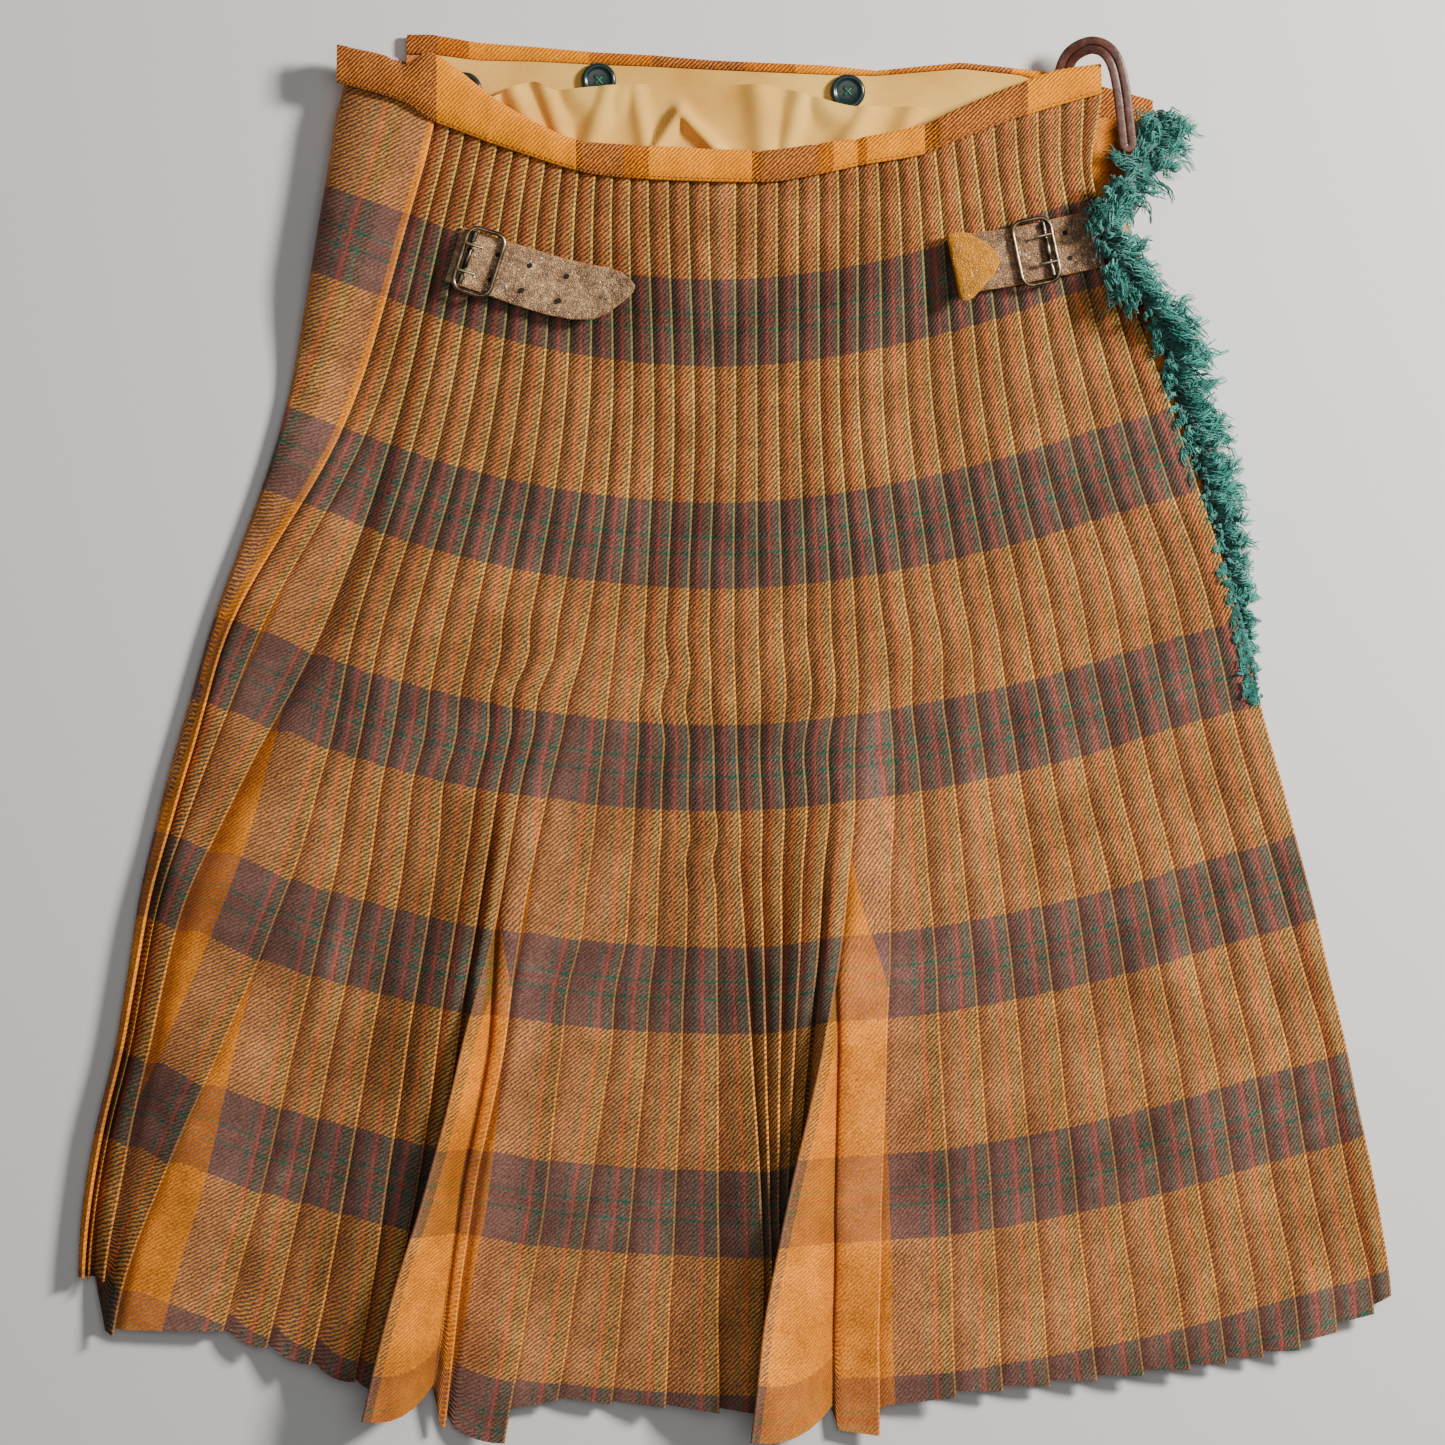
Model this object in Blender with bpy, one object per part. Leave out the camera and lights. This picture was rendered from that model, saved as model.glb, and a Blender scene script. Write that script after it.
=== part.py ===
"""A kilt lying on its front on a flat surface, pleated back upward, waist towards +Y.

Built as the garment is cut: one length of cloth in three stretches (over apron, pleated back,
under apron), its waist bindings, lining, buckles with their straps, hanger loop and apron fringe.
"""
import math
import random

import bmesh
import bpy
from mathutils import Vector

# Every table below is in millimetres; MM turns it into metres. x runs right, y to the waist, z up.
MM = 0.001

SHARP_ANGLE = math.radians(40.0)    # edges sharper than this stay crisp

# Cloth and fold sizes
CLOTH = 1.2                 # wall of the flat aprons
PLEAT_WALL = 1.0            # wall of the pleated back
SEAM = 0.3                  # gap between pieces that are sewn or lie together
LAYER = 1.55                # height from one folded layer of a pleat to the next
TUCK = 0.85                 # share of a pleat's width that is folded away under it
PLEATS = 35
FACE_CROWN = 0.5            # most that a pleat's face stands proud of flat
CROWN_SHARE = 0.06          # and its share of the face's width
MIN_TUCK_STEP = 3.6         # least distance between two hidden folds
SLANTED_TUCKS = 8           # this many hidden folds at the left slant with their creases
FOOT_CLEAR = 2.2            # foot of a standing fold, right of the pleat before it
SHOULDER = 7.0              # height at which a standing fold clears the pleats beside it
STAND_BULGE = 1.6           # outward bow of a standing fold's open side

# Height of the pleated back above the surface: high over the waist opening, lower on the aprons
BASE_WAIST = 12.0
BASE_BODY = 3.5
BASE_HEM = 2.0
WAIST_SLOPE = (180.0, 252.0)     # y where the base starts and ends its climb to the waist
HEM_DROP = (12.0, 55.0)          # it settles between these distances past the front's hem

# Section heights (y) of the fold lines, from the waist to below the hem
LEVELS = (309.0, 265.0, 149.0, 56.5, -11.0, -79.0, -147.0, -215.0, -268.0, -326.0)

# x of each named fold's crisp edge at those heights; the pleats between two rows share the width
FOLD_LINES = {
    -1: (-191.0, -197.5, -219.5, -252.0, -271.5, -288.0, -299.0, -314.0, -317.5, -318.0),
    0: (-141.0, -152.0, -189.0, -242.0, -261.5, -280.5, -291.5, -305.5, -311.6, -312.0),
    1: (-133.5, -143.5, -177.0, -226.5, -252.5, -274.5, -286.5, -301.0, -308.0, -308.5),
    2: (-125.5, -135.5, -164.0, -196.5, -231.5, -264.5, -281.5, -296.0, -304.3, -304.5),
    3: (-117.5, -126.5, -153.0, -182.0, -196.5, -217.5, -246.0, -276.5, -295.5, -304.0),
    4: (-109.0, -118.0, -141.0, -169.0, -182.5, -195.5, -211.5, -226.5, -242.0, -256.0),
    7: (-85.0, -92.5, -106.0, -125.5, -137.0, -146.5, -157.0, -167.0, -174.0, -185.5),
    8: (-77.0, -84.0, -94.5, -111.5, -121.0, -133.0, -142.5, -152.0, -162.5, -173.5),
    10: (-60.5, -67.0, -70.5, -84.5, -100.0, -113.0, -123.5, -137.0, -144.0, -150.0),
    11: (-52.5, -58.5, -59.0, -70.5, -86.0, -100.5, -110.5, -124.5, -132.0, -138.5),
    12: (-45.0, -50.0, -49.0, -56.5, -64.0, -71.5, -83.0, -89.5, -98.5, -108.0),
    13: (-37.0, -41.0, -38.5, -43.0, -47.0, -50.5, -59.0, -68.5, -77.0, -86.0),
    16: (-8.5, -12.0, -9.0, -12.0, -9.5, -8.5, -7.5, -7.5, -7.5, -7.0),
    17: (2.5, 1.0, 1.0, 0.0, 2.0, 4.5, 8.5, 13.0, 14.5, 15.0),
    21: (40.0, 41.0, 42.0, 47.5, 47.5, 43.0, 36.5, 31.5, 30.5, 30.5),
    22: (49.0, 50.5, 51.5, 59.0, 59.5, 55.0, 43.0, 39.5, 38.5, 38.5),
    23: (58.0, 60.0, 61.0, 72.0, 77.5, 76.0, 74.0, 72.0, 71.0, 70.5),
    24: (66.5, 70.0, 73.0, 84.0, 89.0, 95.5, 99.5, 103.5, 105.5, 107.5),
    29: (113.0, 118.0, 134.0, 154.5, 168.0, 183.0, 195.0, 205.5, 215.0, 224.0),
    34: (168.5, 169.0, 202.0, 231.5, 246.5, 266.0, 284.5, 297.0, 308.0, 312.0),
    35: (177.0, 173.5, 215.0, 244.0, 261.5, 279.5, 295.0, 309.5, 317.5, 317.5),
}

# Lowest point (y) of each named fold at the hem
HEM_LINE = {
    -1: -261.0, 2: -262.5, 3: -289.0, 4: -287.0, 7: -309.5, 9: -318.0, 10: -327.0, 12: -340.5,
    13: -320.5, 16: -325.0, 21: -327.5, 22: -337.0, 23: -337.5, 24: -318.5, 29: -305.5,
    32: -296.0, 35: -270.0,
}
HEM_NEXT_RISE = 2.4         # the next face starts this much higher than the fold that covers it
HEM_NEXT_DROP = 3.9         # or at most this much lower than its own fold

# Folds that stand open like a tent: x of the ridge, x of the valley right of it, height, openness
STANDING = {
    10: {
        "ridge": (-60.5, -67.0, -70.5, -84.5, -100.0, -113.0, -129.5, -146.5, -162.0, -176.5),
        "valley": (-60.5, -67.0, -72.0, -88.0, -104.0, -107.5, -119.0, -132.0, -138.5, -145.0),
        "height": (4.5, 4.5, 4.5, 4.5, 4.5, 6.0, 11.0, 14.0, 16.0, 17.0),
        "open": (0.0, 0.0, 0.0, 0.0, 0.0, 0.4, 1.0, 1.0, 1.0, 1.0),
    },
    22: {
        "ridge": (49.0, 50.5, 51.5, 59.0, 59.5, 55.0, 44.0, 29.0, 18.0, 11.0),
        "valley": (47.0, 48.5, 49.5, 57.0, 56.0, 52.0, 50.0, 49.0, 48.5, 48.0),
        "height": (4.5, 4.5, 4.5, 4.5, 4.5, 6.5, 12.0, 15.0, 17.0, 18.0),
        "open": (0.0, 0.0, 0.0, 0.0, 0.0, 0.4, 1.0, 1.0, 1.0, 1.0),
    },
}

# Folds that stay shut but float above the cloth beside them (mm of lift at each section height)
LIFTED = {
    0: (0.0, 0.3, 0.8, 1.5, 1.5, 1.5, 1.5, 1.5, 1.5, 1.5),
    1: (0.0, 0.0, 0.0, 0.0, 0.3, 0.6, 0.6, 1.0, 1.0, 1.0),
    2: (0.0, 0.0, 0.0, 1.0, 2.0, 2.5, 1.5, 0.5, 0.0, 0.0),
    3: (0.0, 0.0, 0.0, 1.0, 2.5, 4.0, 4.5, 4.2, 1.5, 0.5),
    12: (0.0, 0.0, 0.0, 0.0, 1.0, 2.5, 3.0, 3.0, 3.0, 3.0),
    17: (0.0, 0.0, 0.0, 0.0, 0.0, 1.0, 1.5, 1.0, 0.0, 0.0),
    20: (0.0, 0.0, 0.0, 0.5, 1.0, 1.5, 0.5, 0.0, 0.0, 0.0),
    24: (0.0, 0.0, 0.0, 0.0, 0.5, 1.5, 2.5, 3.0, 3.0, 3.0),
}
ROWS = (0.0, 0.013, 0.1, 0.21, 0.33, 0.44, 0.55, 0.66, 0.77, 0.87, 0.945, 1.0)

# Waist binding of the back: x, y of its lower edge, y of its upper edge
BACK_BAND = (
    (-190.5, 315.0, 333.5), (-167.5, 308.5, 328.5), (-159.0, 305.5, 324.0), (-147.0, 297.5, 330.0),
    (-131.5, 291.5, 321.0), (-117.0, 286.0, 309.5), (-96.0, 279.5, 297.5), (-77.5, 273.0, 288.5),
    (-72.0, 270.0, 285.5), (-41.0, 268.5, 285.5), (9.0, 267.5, 283.0), (15.0, 266.0, 282.5),
    (40.0, 271.5, 286.5), (61.0, 275.0, 289.0), (92.0, 280.5, 295.5), (101.5, 284.5, 300.0),
    (138.5, 298.5, 315.5), (158.5, 304.5, 322.0), (177.0, 309.5, 324.5),
)
BAND_ALSO_AT = (-186.0, -183.0, -180.0, -55.0, -18.0, 28.0, 77.0, 118.0, 168.0)
BAND_WALL = 1.0
BAND_INNER_FROM = -184.5    # the binding's inner leg starts right of the side's fold
TOP_OF_PLEATS = 6.7         # highest skin of the closed pleats above their base
BAND_TAKES_IN = 4.0         # how far the pleats reach up inside the folded binding
BAND_SLACK = 3.8            # room past them, because the folds slant under a sloping band
SIDE_WRAP = 9.3             # how far the side turns under at the left edge
SIDE_EDGE_BOW = 0.5
SIDE_EDGE_RISE = 2.4
SIDE_FACE_RISE = 4.4
SIDE_TUCK = 0.32            # share of the flat side's width that the first fold hides
BAND_INSET = 2.2            # the side edge steps in under the binding

# Front, inner stretch: x, y of the binding's upper edge, y of its lower edge
FRONT_BAND = (
    (-158.0, 340.5, 331.0), (-146.0, 340.5, 331.0), (-123.0, 336.5, 328.0), (-96.0, 334.5, 327.5),
    (-68.0, 332.0, 326.0), (-39.0, 330.5, 325.0), (-10.5, 328.0, 323.5), (46.0, 325.5, 321.0),
    (69.0, 323.0, 320.5), (110.5, 327.0, 324.0), (138.5, 324.0, 321.0), (154.0, 322.0, 316.0),
)
FRONT_BAND_THICK = 2.6

# Front aprons: x of the left and right edges down the garment
APRON_ROWS = (
    # y, where the flat part ends past the back's right edge, width of the free edge, its curl
    (322.0, 2.2, 25.0, 0.12), (311.0, 2.2, 25.0, 0.15), (297.0, 2.2, 25.0, 0.25),
    (278.0, 2.2, 30.0, 0.6), (258.0, 2.2, 35.0, 0.95), (232.0, 2.2, 35.0, 1.0),
    (212.0, 2.6, 26.0, 0.8), (195.0, 2.8, 10.0, 0.45), (178.0, 2.8, 5.0, 0.2),
    (160.0, 1.0, 4.0, 0.0), (130.0, 0.5, 4.0, 0.0), (100.0, 0.0, 4.0, 0.0),
    (30.0, -6.0, 4.0, 0.0),
    (-60.0, -12.0, 4.0, 0.0), (-150.0, -12.0, 4.0, 0.0), (-215.0, -12.0, 4.0, 0.0),
    (-262.0, -14.0, 4.0, 0.0),
)
APRON_ACROSS = (0.0, 0.1, 0.27, 0.45, 0.69, 0.92, 1.0)
APRON_LEFT_GAP = 0.8        # seam at the left edge, where the two outlines bend differently
APRON_HEM_SAG = 26.0        # the hem's middle lies this much lower than its ends
APRON_TOP = ((-177.0, 331.0), (-144.5, 325.0), (-19.0, 313.0), (149.5, 306.0), (178.0, 316.0),
             (203.5, 309.0))
OVER_BAND_HEIGHT = 14.5
OVER_BAND_GAP = 1.2
UNDER_APRON_Z = 2.1
UNDER_APRON_SHORT = 24.0    # the inner stretch ends this far above the outer one
UNDER_ROWS = (0.0, 0.06, 0.14, 0.3, 0.45, 0.6, 0.75, 0.9, 1.0)
UNDER_LEFT = ((331.0, -158.0), (150.0, -196.0), (-262.0, -270.0))
UNDER_RIGHT = ((322.0, 152.0), (265.0, 158.0), (149.0, 198.0), (-79.0, 258.0), (-262.0, 290.0))

# Lining inside the waist
FACING_Z = 3.5
FACING_WALL = 1.0
FACING_LOW_Y = 236.0
FACING_ACROSS = (-148.0, -123.0, -96.0, -68.0, -39.0, -10.5, 18.0, 46.0, 69.0, 92.0, 110.5, 138.5,
                 150.0)
LOWER_LINING_TOP = (
    (-122.0, 305.0), (-115.5, 310.0), (-96.0, 317.0), (-86.0, 313.0), (-68.0, 314.5),
    (-39.0, 316.0), (15.0, 315.5), (38.5, 310.0), (61.0, 305.0), (84.5, 305.0), (98.5, 303.5),
)
LOWER_LINING_LOW_Y = 226.0
LOWER_LINING_Z = 5.4
BUTTON_RADIUS = 8.5
BUTTON_THICK = 3.0
BUTTON_DISH = 5.4           # radius of the sunk middle
BUTTON_SIDES = 18
BUTTONS = {"button_left": (-130.0, 313.5), "button_middle": (-65.0, 318.0),
           "button_right": (55.5, 312.5)}

# Straps and buckles
STRAP_THICK = 1.8
STRAP_SINK = 0.75           # the straps press the pleats down by this much
BUCKLE_RISE = 1.95          # a frame's middle above the strap's top
FRAME_LENGTH = 31.0         # along the strap's width, between wire centres
FRAME_WIDTH = 18.5
WIRE = 1.0                  # half the wire's thickness
PRONG = 0.75
BUCKLE_LEFT = {"centre": (-122.0, 228.5), "turn": -18.0}
BUCKLE_RIGHT = {"centre": (145.5, 233.5), "turn": 12.0}
# distance along the strap, drop to the side, half width, height above the pleats
STRAP_LEFT = (
    (-13.0, 0.0, 13.7, 0.0), (-6.0, 0.0, 13.7, 0.5), (4.0, 0.0, 13.7, 0.5), (14.0, 0.0, 14.0, 0.3),
    (26.0, 0.0, 14.2, 0.3), (38.0, 0.3, 14.2, 0.6), (50.0, 1.5, 14.0, 1.6), (60.0, 3.6, 13.2, 3.2),
    (66.0, 6.0, 10.6, 5.0), (71.5, 8.6, 6.0, 7.4), (75.0, 10.5, 1.6, 8.8),
)
STRAP_RIGHT = (
    (31.0, 0.0, 13.8, 1.0), (24.0, 0.0, 13.8, 1.0), (13.0, 0.0, 13.8, 0.6), (3.0, 0.0, 13.6, 0.6),
    (-6.0, 0.0, 13.6, 0.6), (-16.0, 0.3, 13.9, 0.3), (-27.0, 1.0, 14.0, 0.4),
    (-37.0, 2.0, 14.0, 1.4),
)
# The right strap's tip folds back on itself: distance back along it, height, tilt (radians)
STRAP_TURN = ((-2.4, 1.0, 1.2), (-2.4, 2.8, 2.0), (0.0, 3.8, 2.9), (7.0, 4.2, 3.14), (14.0, 4.0, 3.14))
TURN_SLANT = 0.55           # the tip's end is cut slightly aslant

# Hanger loop: a narrow leather thong doubled over the waist, x, y, z of its middle line
LOOP_PATH = (
    (160.0, 312.0, 8.6), (159.5, 321.0, 9.2), (163.0, 329.0, 13.0), (171.0, 333.0, 17.5),
    (178.5, 331.0, 20.5), (183.5, 324.0, 21.5), (186.5, 312.0, 20.5), (188.5, 298.0, 18.5),
    (190.0, 286.0, 16.5),
)
LOOP_WIDTH = 3.4
LOOP_THICK = 1.3
LOOP_SPREAD = 2.6           # half the distance between the loop's two sides

# Fringe along the over apron's free edge
FRINGE_TOP_Y = 297.0
FRINGE_LOW_Y = 20.0
FRINGE_STEP = 6.8           # most from one lock to the next
FRINGE_HALF_WIDTH = 1.5
FRINGE_HALF_HEIGHT = 1.0
TURNED_BACK = 2.2           # past this turn (radians) the apron's edge points left over the back
FRINGE_CLEAR = 0.3          # room past the seam gap, where the edge bends between its rows
FRINGE_LOW_Z = 1.45         # middle of the strip where it lies on the surface
LOCK_FLOOR = 1.8            # the middle of a lock comes no closer to the surface
LOCK_SEED = 7
# y, length of the locks, lean of the outer, upper and inner locks from level (degrees)
LOCK_ROWS = (
    (306.0, 13.0, 22.0, 50.0, 90.0), (290.0, 17.0, 18.0, 48.0, 95.0),
    (272.0, 13.0, 20.0, 58.0, 105.0), (250.0, 8.0, 20.0, 62.0, 110.0),
    (228.0, 7.0, 20.0, 62.0, 108.0), (212.0, 9.0, 15.0, 50.0, 84.0),
    (195.0, 15.0, 15.0, 42.0, 72.0),
    (150.0, 17.0, 12.0, 40.0, 72.0), (95.0, 17.0, 10.0, 36.0, 64.0), (66.0, 12.0, 6.0, 32.0, 56.0),
    (52.0, 9.0, 0.0, 34.0, 56.0),
    (40.0, 6.0, 0.0, 4.0, 8.0), (20.0, 4.0, 0.0, 3.0, 6.0),
)
LOCK_LEAN_SPREAD = 3.0
LOCK_DRIFT = 0.12           # most that a lock swings along the fringe, as a share of its length
LOCK_WIDTHS = (0.62, 0.3)   # width of a lock at its bend and at its tip, as shares of its root
LOCK_TOP_FROM = 66.0        # below this height the back lies on the strip and only the side shows

# Colours: linear red, green, blue
TAN = (0.36, 0.15, 0.05, 1.0)
SAFFRON = (0.72, 0.28, 0.04, 1.0)
CREAM = (0.72, 0.48, 0.22, 1.0)
LEATHER = (0.24, 0.15, 0.10, 1.0)
THONG = (0.10, 0.045, 0.03, 1.0)
STEEL = (0.35, 0.34, 0.33, 1.0)
BRASS = (0.70, 0.62, 0.42, 1.0)
BUTTON_GREEN = (0.01, 0.02, 0.018, 1.0)
TEAL = (0.02, 0.14, 0.11, 1.0)


def clear_scene():
    for item in list(bpy.data.objects):
        bpy.data.objects.remove(item, do_unlink=True)


def make_collection(name):
    collection = bpy.data.collections.new(name)
    bpy.context.scene.collection.children.link(collection)
    return collection


def make_material(name, colour, roughness, metallic=0.0):
    material = bpy.data.materials.new(name)
    material.use_nodes = True
    shader = material.node_tree.nodes["Principled BSDF"]
    shader.inputs["Base Color"].default_value = colour
    shader.inputs["Roughness"].default_value = roughness
    shader.inputs["Metallic"].default_value = metallic
    material.diffuse_color = colour
    return material


def add_object(name, mesh, collection, material):
    item = bpy.data.objects.new(name, mesh)
    collection.objects.link(item)
    mesh.materials.append(material)
    return item


def clamp01(value):
    return max(0.0, min(1.0, value))


def smoothstep(low, high, value):
    share = clamp01((value - low) / (high - low))
    return share * share * (3.0 - 2.0 * share)


def blend(start, end, share):
    return start + (end - start) * share


def read_line(knots, where):
    """Straight reading of a short table of (place, value) pairs, held at its ends."""
    knots = sorted(knots)
    if where <= knots[0][0]:
        return knots[0][1]
    for (place_a, value_a), (place_b, value_b) in zip(knots, knots[1:]):
        if where <= place_b:
            return blend(value_a, value_b, (where - place_a) / (place_b - place_a))
    return knots[-1][1]


def read_levels(values, y):
    """Smooth reading of a row of FOLD_LINES at the height y, through every level."""
    levels = LEVELS
    last = len(levels) - 1
    index = 0
    while index < last - 1 and y < levels[index + 1]:
        index += 1
    step = levels[index] - levels[index + 1]
    share = max(-0.6, min(1.3, (levels[index] - y) / step))
    before = max(index - 1, 0)
    after = min(index + 2, last)
    slope_a = (values[index + 1] - values[before]) / (levels[before] - levels[index + 1]) * step
    slope_b = (values[after] - values[index]) / (levels[index] - levels[after]) * step
    if share < 0.0:
        return values[index] + slope_a * share
    if share > 1.0:
        return values[index + 1] + slope_b * (share - 1.0)
    square = share * share
    cube = square * share
    return (values[index] * (2 * cube - 3 * square + 1) + slope_a * (cube - 2 * square + share)
            + values[index + 1] * (3 * square - 2 * cube) + slope_b * (cube - square))


def read_by_fold(table, fold, reader):
    """Value of a fold: its own row, or shared evenly between the named rows around it."""
    if fold in table:
        return reader(table[fold])
    below = max(key for key in table if key < fold)
    above = min(key for key in table if key > fold)
    return blend(reader(table[below]), reader(table[above]), (fold - below) / (above - below))


def fold_x(fold, y):
    return read_by_fold(FOLD_LINES, fold, lambda row: read_levels(row, y))


def hem_y(fold):
    return read_by_fold(HEM_LINE, fold, lambda value: value)


def band_low(x):
    return read_line([(row[0], row[1]) for row in BACK_BAND], x)


def band_high(x):
    return read_line([(row[0], row[2]) for row in BACK_BAND], x)


def apron_hem_y(x):
    return APRON_ROWS[-1][0] - APRON_HEM_SAG * (1.0 - (x / 310.0) ** 2)


def base_height(x, y):
    """Height of the lowest folded layer of the back above the surface."""
    waist = smoothstep(WAIST_SLOPE[0], WAIST_SLOPE[1], y + 0.12 * abs(x) - 8.0)
    past_hem = smoothstep(HEM_DROP[0], HEM_DROP[1], apron_hem_y(x) - y)
    return blend(blend(BASE_BODY, BASE_WAIST, waist), BASE_HEM, past_hem)


def fold_top_y(fold):
    """Where a fold ends inside the binding, found by following it up to the band."""
    y = LEVELS[1]
    for _ in range(4):
        y = band_low(fold_x(fold, y)) + BAND_TAKES_IN
    return y


def pleat_section(row):
    """Middle line of the back's cloth across the garment at one row, as (x, y, z) points."""
    crease_y = [blend(fold_top_y(m), hem_y(m), row) for m in range(PLEATS + 1)]
    crease_x = [fold_x(m, crease_y[m]) for m in range(PLEATS + 1)]
    side_y = blend(fold_top_y(-1), hem_y(-1), row)
    side_x = fold_x(-1, side_y) + (BAND_INSET if row == 0.0 else 0.0)

    face_y = [crease_y[0]]
    for m in range(PLEATS):
        start = min(hem_y(m) + HEM_NEXT_RISE, hem_y(m + 1) + HEM_NEXT_RISE)
        start = max(start, hem_y(m + 1) - HEM_NEXT_DROP)
        face_y.append(blend(fold_top_y(m), start, row))

    shut_x = [crease_x[0] - min(SIDE_TUCK * (crease_x[0] - side_x), 14.0)]
    for m in range(1, PLEATS + 1):
        shut_x.append(crease_x[m] - TUCK * (crease_x[m] - crease_x[m - 1]))
    tuck_x = []
    for m in range(PLEATS + 1):
        place = shut_x[m]
        if m in STANDING:
            opened = read_levels(STANDING[m]["open"], crease_y[m])
            place = blend(place, read_levels(STANDING[m]["valley"], crease_y[m]), clamp01(opened))
        if tuck_x:
            place = max(place, tuck_x[-1] + MIN_TUCK_STEP)
        tuck_x.append(place)

    def tuck_at(m, y):
        """A hidden fold followed to another height, along the slope of its own crease."""
        return tuck_x[m] + fold_x(m, y) - fold_x(m, crease_y[m])

    def layers_under(x):
        """How many hidden folds lie left of x, read smoothly between them."""
        if x <= tuck_x[0]:
            return (x - tuck_x[0]) / MIN_TUCK_STEP / 3.0
        for m in range(PLEATS):
            if x <= tuck_x[m + 1]:
                return m + (x - tuck_x[m]) / (tuck_x[m + 1] - tuck_x[m])
        return PLEATS + min((x - tuck_x[-1]) / (tuck_x[-1] - tuck_x[-2]), 0.85)

    def face_z(m, x):
        return 2.0 * LAYER * (layers_under(x) + 1.0 - m)

    points = []

    def put(x, y, z):
        points.append((x, y, z + base_height(x, y)))

    # The flat side: from under the left edge, round it, and up to the first fold's edge
    edge_height = base_height(side_x, side_y) + SIDE_EDGE_RISE
    points.append((side_x + SIDE_WRAP, side_y, CLOTH / 2))
    points.append((side_x + 2.2, side_y, CLOTH / 2))
    points.append((side_x + SIDE_EDGE_BOW, side_y, 0.4 * edge_height))
    points.append((side_x + SIDE_EDGE_BOW + 0.3, side_y, 0.8 * edge_height))
    points.append((side_x + 2.8, side_y, edge_height + 0.5))
    first = crease_x[0]
    put(blend(side_x + 2.8, first, 0.5), blend(side_y, crease_y[0], 0.5), SIDE_FACE_RISE)

    for m in range(PLEATS + 1):
        openness = 0.0
        ridge_x = crease_x[m]
        ridge_z = face_z(m, ridge_x)
        if m in STANDING:
            y = crease_y[m]
            openness = clamp01(read_levels(STANDING[m]["open"], y))
            ridge_x = blend(ridge_x, read_levels(STANDING[m]["ridge"], y), openness)
            ridge_z = blend(ridge_z, read_levels(STANDING[m]["height"], y), openness)
        if m in LIFTED:
            ridge_z += max(0.0, read_levels(LIFTED[m], crease_y[m]))
        if m:
            y = face_y[m]
            foot_x = blend(shut_x[m], crease_x[m - 1] + FOOT_CLEAR, openness)
            foot_x = max(foot_x, tuck_x[m - 1] + MIN_TUCK_STEP)
            foot_z = face_z(m, foot_x)
            put(tuck_at(m - 1, y) if m <= SLANTED_TUCKS else tuck_x[m - 1], y, 0.0)
            put(foot_x, y, foot_z)
            shoulder_x = blend(blend(foot_x, ridge_x, 0.5), foot_x + 0.4, openness)
            crown = 0.5 * (foot_z + ridge_z) + min(FACE_CROWN, CROWN_SHARE * (ridge_x - foot_x))
            put(shoulder_x, blend(y, crease_y[m], 0.5), blend(crown, SHOULDER, openness))
            before = Vector((shoulder_x, blend(crown, SHOULDER, openness)))
        else:
            before = Vector((ridge_x - 6.0, ridge_z - 0.6))
        # The crease: the cloth turns clockwise through two corners one layer apart
        heading = (Vector((ridge_x, ridge_z)) - before).normalized()
        put(ridge_x, crease_y[m], ridge_z)
        put(ridge_x + LAYER * heading.y * openness, crease_y[m],
            ridge_z - LAYER * blend(1.0, heading.x, openness))
        if m in STANDING:
            middle_x = blend(ridge_x, tuck_x[m], 0.5)
            middle_z = blend(ridge_z, LAYER, 0.5) + STAND_BULGE * openness
            shut_z = face_z(m, middle_x) - LAYER
            put(middle_x, crease_y[m], blend(shut_z, middle_z, openness))
        put(tuck_x[m], crease_y[m], LAYER)
    return points


def wall_from_middle(points, thickness):
    """The two skins of a cloth whose middle line is given, mitred at its corners."""
    upper = []
    lower = []
    half = thickness / 2.0
    for index, point in enumerate(points):
        here = Vector((point[0], point[2]))
        before = points[max(index - 1, 0)]
        after = points[min(index + 1, len(points) - 1)]
        run_in = here - Vector((before[0], before[2]))
        run_out = Vector((after[0], after[2])) - here
        if run_in.length < 1e-6:
            run_in = run_out
        if run_out.length < 1e-6:
            run_out = run_in
        run_in.normalize()
        run_out.normalize()
        normal = Vector((-run_in.y - run_out.y, run_in.x + run_out.x))
        normal.normalize()
        reach = half / max(0.62, normal.dot(Vector((-run_in.y, run_in.x))))
        upper.append((here.x + normal.x * reach, point[1], here.y + normal.y * reach))
        lower.append((here.x - normal.x * reach, point[1], here.y - normal.y * reach))
    return upper, lower


def skin_rings(shape, rings):
    """Faces through rings of equal length, each of which runs once round its section."""
    corners = [[shape.verts.new(Vector(point) * MM) for point in ring] for ring in rings]
    count = len(rings[0])
    for ring_a, ring_b in zip(corners, corners[1:]):
        for i in range(count):
            k = (i + 1) % count
            shape.faces.new((ring_a[i], ring_a[k], ring_b[k], ring_b[i]))
    return corners


def finish_mesh(name, shape):
    bmesh.ops.recalc_face_normals(shape, faces=shape.faces[:])
    bmesh.ops.triangulate(shape, faces=shape.faces[:])
    mesh = bpy.data.meshes.new(name)
    shape.to_mesh(mesh)
    shape.free()
    mesh.shade_smooth()
    mesh.set_sharp_from_angle(angle=SHARP_ANGLE)
    return mesh


def loft_wall(name, rings):
    """Closed cloth wall: each ring is its upper skin out and its lower skin back."""
    shape = bmesh.new()
    corners = skin_rings(shape, rings)
    count = len(rings[0])
    for ring in (corners[0], corners[-1]):
        for i in range(count // 2 - 1):
            k = count - 1 - i
            shape.faces.new((ring[i], ring[i + 1], ring[k - 1], ring[k]))
    return finish_mesh(name, shape)


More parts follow.
